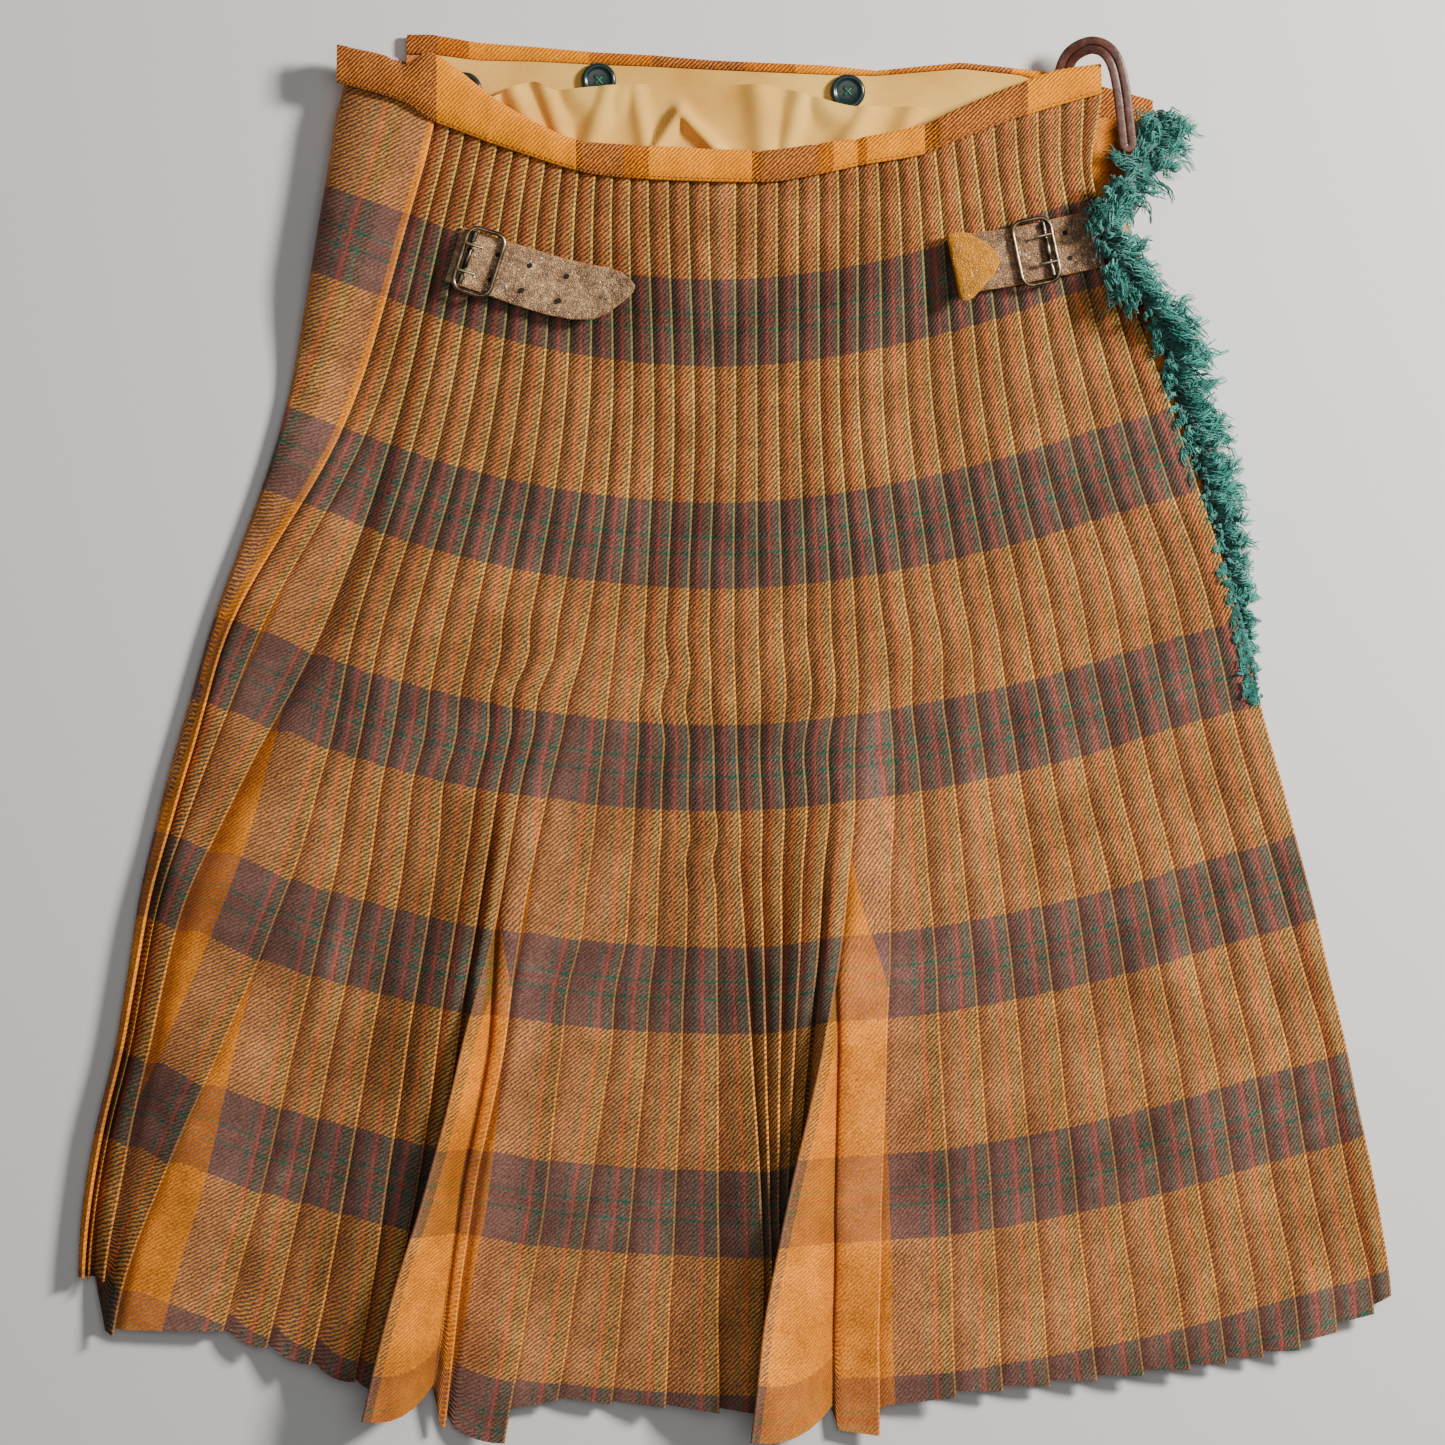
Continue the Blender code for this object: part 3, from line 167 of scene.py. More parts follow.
STANDING = {
    # x of a standing pleat's ridge and of the valley behind it, the ridge's height, and how far
    # it is open, at each of the LEVELS
    10: {
        "ridge": (-60.5, -67.0, -70.5, -84.5, -100.0, -113.0, -129.5, -146.5, -162.0, -176.5),
        "valley": (-60.5, -67.0, -72.0, -88.0, -104.0, -107.5, -119.0, -132.0, -138.5, -145.0),
        "height": (4.5, 4.5, 4.5, 4.5, 4.5, 6.0, 11.0, 14.0, 16.0, 17.0),
        "open": (0.0, 0.0, 0.0, 0.0, 0.0, 0.4, 1.0, 1.0, 1.0, 1.0),
    },
    22: {
        "ridge": (49.0, 50.5, 51.5, 59.0, 59.5, 55.0, 44.0, 29.0, 18.0, 11.0),
        "valley": (47.0, 48.5, 49.5, 57.0, 56.0, 52.0, 50.0, 49.0, 48.5, 48.0),
        "height": (4.5, 4.5, 4.5, 4.5, 4.5, 6.5, 12.0, 15.0, 17.0, 18.0),
        "open": (0.0, 0.0, 0.0, 0.0, 0.0, 0.4, 1.0, 1.0, 1.0, 1.0),
    },
}
FOOT_CLEAR = 2.2            # a standing pleat's face starts this far past the crease before it
SHOULDER = 7.0              # height at which it bends over
STAND_BULGE = 1.6           # its hidden side bows out by this
STAND_SHIFT = 9.0           # its crease runs this much nearer the saffron
OPEN_SHIFT = 34.0           # and the next pleat opens to its saffron part
LIFTED = {
    # how far other creases lift off the cloth at each of the LEVELS
    0: (0.0, 0.3, 0.8, 1.5, 1.5, 1.5, 1.5, 1.5, 1.5, 1.5),
    1: (0.0, 0.0, 0.0, 0.0, 0.3, 0.6, 0.6, 1.0, 1.0, 1.0),
    2: (0.0, 0.0, 0.0, 1.0, 2.0, 2.5, 1.5, 0.5, 0.0, 0.0),
    3: (0.0, 0.0, 0.0, 1.0, 2.5, 4.0, 4.5, 4.2, 1.5, 0.5),
    12: (0.0, 0.0, 0.0, 0.0, 1.0, 2.5, 3.0, 3.0, 3.0, 3.0),
    17: (0.0, 0.0, 0.0, 0.0, 0.0, 1.0, 1.5, 1.0, 0.0, 0.0),
    20: (0.0, 0.0, 0.0, 0.5, 1.0, 1.5, 0.5, 0.0, 0.0, 0.0),
    24: (0.0, 0.0, 0.0, 0.0, 0.5, 1.5, 2.5, 3.0, 3.0, 3.0),
}
CREASE_WAVES = (
    # middle x and y, reach each way, length of a wave down the cloth, how far creases swing
    (-101.0, 30.0, 20.0, 26.0, 44.0, 2.4), (-31.0, 24.0, 16.0, 26.0, 40.0, 2.3),
    (38.0, 8.0, 22.0, 40.0, 72.0, 2.2), (-14.0, -54.0, 14.0, 18.0, 34.0, 1.9),
    (-140.0, -12.0, 22.0, 30.0, 60.0, 1.5), (96.0, 30.0, 26.0, 36.0, 66.0, 1.3),
    (190.0, 60.0, 50.0, 60.0, 110.0, 1.2), (-66.0, -110.0, 24.0, 40.0, 60.0, 1.2),
)
SWELLS = (
    # fold whose crease is the crest, and how far the cloth swells up there at each of the LEVELS
    (10, (0.0, 0.0, 0.0, 1.0, 2.8, 5.5, 9.0, 11.0, 12.0, 12.0)),
    (22, (0.0, 0.0, 0.0, 1.2, 3.0, 5.5, 9.0, 11.0, 12.0, 12.0)),
)
SWELL_LEFT = 56.0           # the swell fades out this far left and right of its crest
SWELL_RIGHT = 44.0
FREE_BETWEEN = (120.0, -60.0)   # the stitched pleats come free between these two heights of y
RISES = (
    # size of a patch across and down, its draw, how far it rises in stitched and in free cloth
    (55.0, 80.0, 3.0, 0.35, 1.3), (24.0, 110.0, 6.0, 0.3, 1.5),
)
SWAY = (90.0, 45.0, 9.0, 0.3, 1.0)      # the same for the creases' drift to the sides
BACK_BAND = (
    # x, lower and upper edge of the binding
    (-190.5, 315.0, 333.5), (-167.5, 308.5, 328.5), (-159.0, 305.5, 324.0), (-147.0, 297.5, 330.0),
    (-131.5, 291.5, 321.0), (-117.0, 286.0, 309.5), (-96.0, 279.0, 297.0), (-77.5, 273.2, 288.8),
    (-66.0, 270.6, 286.6), (-41.0, 268.4, 285.2), (9.0, 267.0, 283.0), (15.0, 267.0, 283.0),
    (40.0, 270.5, 286.0), (61.0, 275.0, 289.0), (92.0, 280.5, 295.5), (101.5, 284.5, 300.0),
    (138.5, 298.5, 315.5), (158.5, 304.5, 322.0), (177.0, 309.5, 324.5),
)
BAND_TAKES_IN = 4.0         # the pleats run this far up inside the binding
BAND_INSET = 2.2            # the side part's edge is drawn in by this there, and comes out again
INSET_SHARE = 0.04          # over this share of the length
SIDE_WRAP = 9.3             # the flat side part turns this far under, round an edge with a slight bow
SIDE_EDGE_BOW = 0.5
SIDE_EDGE_RISE = 2.4        # heights of its edge and its middle over the lowest layer
SIDE_FACE_RISE = 4.4
SIDE_TUCK = 0.32            # its fold runs back under by this share of its width, up to the most
SIDE_TUCK_MOST = 14.0
UNDERSIDE = 0.6             # height of the middle of the cloth that touches the floor
APRON_HEM_Y = -262.0        # the over apron's hem at the sides, and how much lower it is midway
APRON_HEM_SAG = 26.0
SETT = 107.5                # repeat of the tartan
DARK_HALF = 20.85           # half width of its dark stripe, with a red line in the middle
FINE_LINE = 4.0             # two fine lines lie this far from the red one
FINE_HALF = 0.62            # half width of all three
GREEN_REACH = 9.0           # right of the red line the stripe is greener up to here
FIRST_LINE_BELOW_BAND = 67.4
CREASE_FROM_LINE = (4.2, 8.5)    # the red line lies this far left of a crease, at waist and hem
SIDE_CREASE_FROM_LINE = 24.0
TWILL = 2.4                 # pitch of the twill's diagonals
OFF_CREASE = 9.0            # tells the material that cloth is away from any crease
UNDER_CREASE = 20.0         # and that it lies right under one, with its distance added


def clamp01(value):
    return max(0.0, min(1.0, value))


def smoothstep(low, high, value):
    share = clamp01((value - low) / (high - low))
    return share * share * (3.0 - 2.0 * share)


def blend(start, end, share):
    return start + (end - start) * share


def read_line(knots, where):
    """Straight reading of a short table of (place, value) pairs, held at its ends."""
    knots = sorted(knots)
    if where <= knots[0][0]:
        return knots[0][1]
    for (place_a, value_a), (place_b, value_b) in zip(knots, knots[1:]):
        if where <= place_b:
            return blend(value_a, value_b, (where - place_a) / (place_b - place_a))
    return knots[-1][1]


def read_columns(table, where):
    """Straight reading of every other column of a table at a place in its first column."""
    return [read_line([(row[0], row[column]) for row in table], where)
            for column in range(1, len(table[0]))]


def read_levels(values, y):
    """Smooth reading of a row of FOLD_LINES at the height y, through every level."""
    last = len(LEVELS) - 1
    index = 0
    while index < last - 1 and y < LEVELS[index + 1]:
        index += 1
    step = LEVELS[index] - LEVELS[index + 1]
    share = max(-0.6, min(1.3, (LEVELS[index] - y) / step))
    before = max(index - 1, 0)
    after = min(index + 2, last)
    slope_a = (values[index + 1] - values[before]) / (LEVELS[before] - LEVELS[index + 1]) * step
    slope_b = (values[after] - values[index]) / (LEVELS[index] - LEVELS[after]) * step
    if share < 0.0:
        return values[index] + slope_a * share
    if share > 1.0:
        return values[index + 1] + slope_b * (share - 1.0)
    square = share * share
    cube = square * share
    return (values[index] * (2 * cube - 3 * square + 1) + slope_a * (cube - 2 * square + share)
            + values[index + 1] * (3 * square - 2 * cube) + slope_b * (cube - square))


def read_by_fold(lines, fold, reader):
    """Value of a fold: its own row, or shared evenly between the named rows around it."""
    if fold in lines:
        return reader(lines[fold])
    below = max(key for key in lines if key < fold)
    above = min(key for key in lines if key > fold)
    return blend(reader(lines[below]), reader(lines[above]), (fold - below) / (above - below))


def fold_x(fold, y):
    return read_by_fold(FOLD_LINES, fold, lambda row: read_levels(row, y))


def hem_y(fold):
    return read_by_fold(HEM_LINE, fold, lambda value: value)


def read_smooth(knots, where):
    """Smooth reading of a short table of (place, value) pairs that never overshoots them."""
    last = len(knots) - 1
    if where <= knots[0][0] or where >= knots[last][0]:
        return read_line(knots, where)
    index = max(i for i in range(last) if knots[i][0] <= where)
    rates = [(b[1] - a[1]) / (b[0] - a[0]) for a, b in zip(knots, knots[1:])]

    def rate_at(i):
        if i in (0, last):
            return rates[0 if i == 0 else -1]
        if rates[i - 1] * rates[i] <= 0.0:
            return 0.0
        return 2.0 * rates[i - 1] * rates[i] / (rates[i - 1] + rates[i])

    step = knots[index + 1][0] - knots[index][0]
    share = (where - knots[index][0]) / step
    square = share * share
    cube = square * share
    return (knots[index][1] * (2 * cube - 3 * square + 1)
            + rate_at(index) * step * (cube - 2 * square + share)
            + knots[index + 1][1] * (3 * square - 2 * cube)
            + rate_at(index + 1) * step * (cube - square))


def band_low(x):
    return read_smooth([(row[0], row[1]) for row in BACK_BAND], x)


def band_high(x):
    return read_smooth([(row[0], row[2]) for row in BACK_BAND], x)


def band_arc(x):
    """The binding's lower edge evened out, which the tartan's cross stripes run along."""
    places = [x + 9.0 * step for step in range(-4, 5)]
    return sum(band_low(place) for place in places) / len(places)


def apron_hem_y(x):
    return APRON_HEM_Y - APRON_HEM_SAG * (1.0 - (x / 310.0) ** 2)


def base_height(x, y):
    """Height of the back's lowest layer over the floor."""
    waist = smoothstep(WAIST_SLOPE[0], WAIST_SLOPE[1], y + 0.12 * abs(x) - 8.0)
    past_hem = smoothstep(HEM_DROP[0], HEM_DROP[1], apron_hem_y(x) - y)
    return blend(blend(BASE_BODY, BASE_WAIST, waist), BASE_HEM, past_hem)


def fold_top_y(fold):
    """Where a crease goes into the binding, found by closing in on it."""
    y = LEVELS[1]
    for _ in range(4):
        y = band_low(fold_x(fold, y)) + BAND_TAKES_IN
    return y


def crease_lengths():
    """Length of each crease from the binding down, at each row of the back."""
    lengths = []
    for m in range(-1, PLEATS + 1):
        top = fold_top_y(m)
        hem = hem_y(m)
        run = band_arc(fold_x(m, top)) - top
        column = [run]
        place = Vector((fold_x(m, top), top))
        for step in range(1, BACK_ROWS + 1):
            y = blend(top, hem, step / BACK_ROWS)
            below = Vector((fold_x(m, y), y))
            run += (below - place).length
            column.append(run)
            place = below
        lengths.append(column)
    return lengths


def through_three(a, b, c, steps):
    """Points between a and c on the smooth curve through a, b and c, without its ends."""
    first = (Vector(b[:3]) - Vector(a[:3])).length
    total = first + (Vector(c[:3]) - Vector(b[:3])).length
    knee = max(0.15, min(0.85, first / total)) if total else 0.5
    points = []
    for step in range(1, steps + 1):
        t = step / (steps + 1)
        wa = (t - knee) * (t - 1.0) / knee
        wb = t * (t - 1.0) / (knee * (knee - 1.0))
        wc = t * (t - knee) / (1.0 - knee)
        points.append(tuple(wa * pa + wb * pb + wc * pc for pa, pb, pc in zip(a, b, c)))
    return points


def round_turn(a, b, outward, steps):
    """Points of a half circle from a to b that bulges along outward (x, z)."""
    radius = math.hypot(b[0] - a[0], b[2] - a[2]) / 2.0
    points = []
    for step in range(1, steps + 1):
        angle = math.pi * step / (steps + 1)
        near = (1.0 - math.cos(angle)) / 2.0
        bulge = radius * math.sin(angle)
        point = [blend(pa, pb, near) for pa, pb in zip(a, b)]
        point[0] += outward.x * bulge
        point[2] += outward.y * bulge
        points.append(tuple(point))
    return points


def towards(start, end, distance):
    """The point a short way from one point to another, which keeps a bend's shading narrow."""
    gap = math.dist(start[:3], end[:3])
    return tuple(blend(a, b, min(0.5, distance / gap)) for a, b in zip(start, end))


def unevenness(patch, x, y, loose):
    """Soft unevenness of the cloth at a place, more where it hangs free."""
    across, down, draw, stitched, free = patch
    return noise.noise(Vector((x / across, y / down, draw))) * blend(stitched, free, loose)


def back_row(number, lengths):
    """Middle line of the back at one row: points of x, y, z, warp, weft and distance from a crease."""
    row = number / BACK_ROWS
    crease_y = [blend(fold_top_y(m), hem_y(m), row) for m in range(PLEATS + 1)]
    crease_x = [fold_x(m, crease_y[m]) for m in range(PLEATS + 1)]
    crease_down = [column[number] - FIRST_LINE_BELOW_BAND for column in lengths]
    side_y = blend(fold_top_y(-1), hem_y(-1), row)
    side_x = fold_x(-1, side_y) + BAND_INSET * smoothstep(INSET_SHARE, 0.0, row)
    near_hem = smoothstep(HEM_FROM, 1.0, row)

    # each pleat's face starts a little off its crease's end, so that the hem steps from one to the next
    face_y = [crease_y[0]]
    face_end = [hem_y(0)]
    for m in range(PLEATS):
        start = min(hem_y(m) + HEM_NEXT_RISE, hem_y(m + 1) + HEM_NEXT_RISE)
        start = max(start, hem_y(m + 1) - HEM_NEXT_DROP)
        face_end.append(start)
        face_y.append(blend(fold_top_y(m), start, row))

    # the hidden inner folds, shut, or drawn over to the valley of a standing pleat
    shut_x = [crease_x[0] - min(SIDE_TUCK * (crease_x[0] - side_x), SIDE_TUCK_MOST)]
    for m in range(1, PLEATS + 1):
        shut_x.append(crease_x[m] - TUCK * (crease_x[m] - crease_x[m - 1]))
    tuck_x = []
    tuck_y = []
    hems = [(fold_x(m, hem_y(m)), hem_y(m)) for m in range(PLEATS + 1)]
    for m in range(PLEATS + 1):
        short = HEM_HIDDEN
        if m > HEM_HIDDEN_AFTER:
            short += min(HEM_HIDDEN_MOST, max(0.0, read_line(hems, shut_x[m] - 6.0) - hem_y(m)))
        tuck_y.append(crease_y[m] + short * near_hem)
        place = shut_x[m]
        if m in STANDING:
            opened = read_levels(STANDING[m]["open"], crease_y[m])
            place = blend(place, read_levels(STANDING[m]["valley"], crease_y[m]), clamp01(opened))
        if tuck_x:
            place = max(place, tuck_x[-1] + MIN_TUCK_STEP)
        tuck_x.append(place)

    def tuck_at(m, y):
        return tuck_x[m] + fold_x(m, y) - fold_x(m, crease_y[m])

    def from_crease(m, x):
        """Tells the material how far right of the crease above it a face is."""
        return max(OFF_CREASE, UNDER_CREASE + x - crease_x[m - 1]) if m else OFF_CREASE

    def layers_under(x):
        """How many folds lie under the cloth at x."""
        if x <= tuck_x[0]:
            return (x - tuck_x[0]) / MIN_TUCK_STEP / 3.0
        for m in range(PLEATS):
            if x <= tuck_x[m + 1]:
                return m + (x - tuck_x[m]) / (tuck_x[m + 1] - tuck_x[m])
        return PLEATS + min((x - tuck_x[-1]) / (tuck_x[-1] - tuck_x[-2]), 0.85)

    def face_z(m, x):
        return 2.0 * LAYER * (layers_under(x) + 1.0 - m)

    def at(x, y, z, warp, down, away, lifted=True):
        """One point, with the cloth's soft unevenness: the same shift for every layer there."""
        loose = smoothstep(FREE_BETWEEN[0], FREE_BETWEEN[1], y)
        ripple = sum(unevenness(patch, x, y, loose) for patch in RISES)
        for fold, rises in SWELLS:
            off = x - read_levels(STANDING[fold]["ridge"], y)
            reach = SWELL_LEFT if off < 0.0 else SWELL_RIGHT
            ripple += max(0.0, read_levels(rises, y)) * smoothstep(reach, 0.0, abs(off))
        sway = unevenness(SWAY, x, y, loose)
        for wave_x, wave_y, reach_x, reach_y, length, swing in CREASE_WAVES:
            near = math.exp(-((x - wave_x) / reach_x) ** 2 - ((y - wave_y) / reach_y) ** 2)
            sway += swing * near * math.sin(2.0 * math.pi * (y - wave_y) / length)
        if lifted:
            z = z + base_height(x, y) + ripple
        return (x + sway, y, z, warp, down, away)

    # the flat side part: its edge turned under, round, and over to the middle of its face
    line_gap = blend(CREASE_FROM_LINE[0], CREASE_FROM_LINE[1], row)
    side_warp = SIDE_CREASE_FROM_LINE
    edge_height = base_height(side_x, side_y) + SIDE_EDGE_RISE
    first = crease_x[0]
    side_down = crease_down[0]
    edge_warp = side_warp - (first - side_x)
    points = [
        at(side_x + SIDE_WRAP, side_y, UNDERSIDE, edge_warp - SIDE_WRAP - 5.0, side_down, OFF_CREASE,
           False),
        at(side_x + 2.2, side_y, UNDERSIDE, edge_warp - 7.0, side_down, OFF_CREASE, False),
        at(side_x + SIDE_EDGE_BOW, side_y, 0.4 * edge_height, edge_warp - 3.0, side_down, 1.0, False),
        at(side_x + SIDE_EDGE_BOW + 0.3, side_y, 0.8 * edge_height, edge_warp, side_down, 0.0, False),
        at(side_x + 2.8, side_y, edge_height + 0.5, edge_warp + 3.0, side_down, 3.0, False),
        at(blend(side_x + 2.8, first, 0.5), blend(side_y, crease_y[0], 0.5), SIDE_FACE_RISE,
           side_warp - 0.5 * (first - side_x), blend(side_down, crease_down[1], 0.5), OFF_CREASE),
    ]
    for m in range(PLEATS + 1):
        openness = 0.0
        ridge_x = crease_x[m]
        ridge_z = face_z(m, ridge_x)
        down = crease_down[m + 1]
        warp = side_warp if m == 0 else line_gap
        if m - 1 in STANDING:
            warp -= OPEN_SHIFT * clamp01(read_levels(STANDING[m - 1]["open"], crease_y[m]))
        if m in STANDING:
            y = crease_y[m]
            openness = clamp01(read_levels(STANDING[m]["open"], y))
            ridge_x = blend(ridge_x, read_levels(STANDING[m]["ridge"], y), openness)
            ridge_z = blend(ridge_z, read_levels(STANDING[m]["height"], y), openness)
        if m in LIFTED:
            ridge_z += max(0.0, read_levels(LIFTED[m], crease_y[m]))
        if m:
            # the pleat's face, out from the inner fold before it
            y = face_y[m]
            above = crease_down[m] + (crease_y[m - 1] - y)
            foot_x = blend(shut_x[m], crease_x[m - 1] + FOOT_CLEAR, openness)
            foot_x = max(foot_x, tuck_x[m - 1] + MIN_TUCK_STEP)
            foot_z = face_z(m, foot_x)
            low_x = tuck_at(m - 1, y) if m <= SLANTED_TUCKS else tuck_x[m - 1]
            low_y = blend(y, tuck_y[m - 1], near_hem)
            low = at(low_x, low_y, 0.0, warp - (ridge_x - low_x), above, OFF_CREASE)
            foot_warp = warp - math.hypot(ridge_x - foot_x, ridge_z - foot_z)
            hem_up = 0.0
            if m > HEM_HIDDEN_AFTER:
                hem_up = max(0.0, read_line(hems, foot_x) + 1.0 - face_end[m])
            foot_y = y + min(HEM_HIDDEN_MOST, hem_up) * near_hem
            foot = at(foot_x, foot_y, foot_z, foot_warp, above, from_crease(m, foot_x))
            shoulder_x = blend(blend(foot_x, ridge_x, 0.5), foot_x + 0.4, openness)
            crown = 0.5 * (foot_z + ridge_z) + min(FACE_CROWN, CROWN_SHARE * (ridge_x - foot_x))
            shoulder_z = blend(crown, SHOULDER, openness)
            half_warp = warp - math.hypot(ridge_x - shoulder_x, ridge_z - shoulder_z)
            shoulder = at(shoulder_x, blend(y, crease_y[m], 0.5), shoulder_z, half_warp,
                          blend(above, down, 0.5), from_crease(m, shoulder_x))
            before = Vector((shoulder_x, shoulder_z))
            points += [low, through_three(low, tuple(blend(a, b, 0.5) for a, b in zip(low, foot)),
                                          foot, 1)[0], foot]
        else:
            before = Vector((ridge_x - 6.0, ridge_z - 0.6))
        # up to its crease, round it, and back under to its own inner fold
        heading = (Vector((ridge_x, ridge_z)) - before).normalized()
        lower_x = ridge_x + CREASE_GAP * heading.y * openness
        lower_z = ridge_z - CREASE_GAP * blend(1.0, heading.x, openness)
        ridge = at(ridge_x - 0.5, crease_y[m], ridge_z, warp - 0.6, down, 0.4)
        face_edge = ridge[:5] + (from_crease(m, ridge_x),)
        if m:
            for step, bowed in enumerate(through_three(foot, shoulder, face_edge, FACE_STEPS)):
                flat = (blend(a, b, step / FACE_STEPS) for a, b in zip(shoulder, face_edge))
                points.append(tuple(blend(a, b, openness) for a, b in zip(bowed, flat)))
        points.append(towards(face_edge, points[-1], CREASE_EDGE))
        points.append(ridge)
        warp += STAND_SHIFT * openness
        under = at(lower_x - 0.5, crease_y[m], lower_z, warp + 0.6, down, 0.4)
        turn = round_turn(ridge, under, Vector((heading.x, heading.y)), 3)
        points += [point[:5] + (0.0,) for point in turn]
        points.append(under)
        tuck = at(tuck_x[m], tuck_y[m], LAYER, warp + abs(ridge_x - tuck_x[m]), down, OFF_CREASE)
        if m in STANDING:
            middle_x = blend(ridge_x, tuck_x[m], 0.5)
            middle_z = blend(ridge_z, LAYER, 0.5) + STAND_BULGE * openness
            shut_z = face_z(m, middle_x) - LAYER
            middle = at(middle_x, crease_y[m], blend(shut_z, middle_z, openness),
                        warp + abs(ridge_x - middle_x), down, OFF_CREASE)
            points.append(towards(under, middle, CREASE_EDGE))
            points += through_three(under, middle, tuck, 5)
        else:
            points.append(tuple(blend(a, b, 0.5) for a, b in zip(under, tuck)))
        points.append(tuck)
    return points


def wall_from_middle(points, thickness):
    """The two skins of a cloth whose middle line is given, mitred at its corners."""
    upper = []
    lower = []
    half = thickness / 2.0
    for index, point in enumerate(points):
        here = Vector((point[0], point[2]))
        before = points[max(index - 1, 0)]
        after = points[min(index + 1, len(points) - 1)]
        run_in = here - Vector((before[0], before[2]))
        run_out = Vector((after[0], after[2])) - here
        if run_in.length < 1e-6:
            run_in = run_out
        if run_out.length < 1e-6:
            run_out = run_in
        run_in.normalize()
        run_out.normalize()
        normal = Vector((-run_in.y - run_out.y, run_in.x + run_out.x))
        normal.normalize()
        reach = half / max(0.62, normal.dot(Vector((-run_in.y, run_in.x))))
        upper.append((here.x + normal.x * reach, point[1], here.y + normal.y * reach) + point[3:])
        lower.append((here.x - normal.x * reach, point[1], here.y - normal.y * reach) + point[3:])
    return upper, lower


def mesh_piece(name, places, faces, material, sharp=None, turn_out=False):
    """A smooth piece from points in millimetres, with its edges over the sharp angle kept crisp."""
    mesh = bpy.data.meshes.new(name)
    mesh.from_pydata([(x * MM, y * MM, z * MM) for x, y, z, *_ in places], [], faces)
    if turn_out:
        shape = bmesh.new()
        shape.from_mesh(mesh)
        bmesh.ops.recalc_face_normals(shape, faces=shape.faces[:])
        shape.to_mesh(mesh)
        shape.free()
    mesh.materials.append(material)
    mesh.shade_smooth()
    if sharp:
        mesh.set_sharp_from_angle(angle=math.radians(sharp))
    piece = bpy.data.objects.new(name, mesh)
    bpy.context.scene.collection.objects.link(piece)
    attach(piece, "root")
    return piece


def mark_points(piece, label, values):
    """Numbers on a piece's points, one for each, that its material reads."""
    layer = piece.data.attributes.new(label, "FLOAT", "POINT")
    layer.data.foreach_set("value", values)


def cloth_piece(name, rows, thickness, material):
    """A closed cloth shell from rows of middle points that carry warp, weft and crease distance."""
    places = []
    count = len(rows[0])
    for row in rows:
        upper, lower = wall_from_middle(row, thickness)
        places += upper + lower[::-1]
    ring = 2 * count
    faces = []
    for r in range(len(rows) - 1):
        start = r * ring
        for i in range(ring):
            k = (i + 1) % ring
            faces.append((start + i, start + ring + i, start + ring + k, start + k))
    for start in (0, (len(rows) - 1) * ring):
        for i in range(count - 1):
            k = ring - 1 - i
            cap = (start + i, start + i + 1, start + k - 1, start + k)
            faces.append(cap if start == 0 else cap[::-1])
    piece = mesh_piece(name, places, faces, material, sharp=75.0)
    for column, label in ((3, "warp"), (4, "weft"), (5, "crease")):
        mark_points(piece, label, [place[column] for place in places])
    return piece


def rgb(red, green, blue):
    """A colour given as it looks on screen, 0 to 255, turned into linear light."""
    return tuple(((value / 255.0 + 0.055) / 1.055) ** 2.4 for value in (red, green, blue)) + (1.0,)


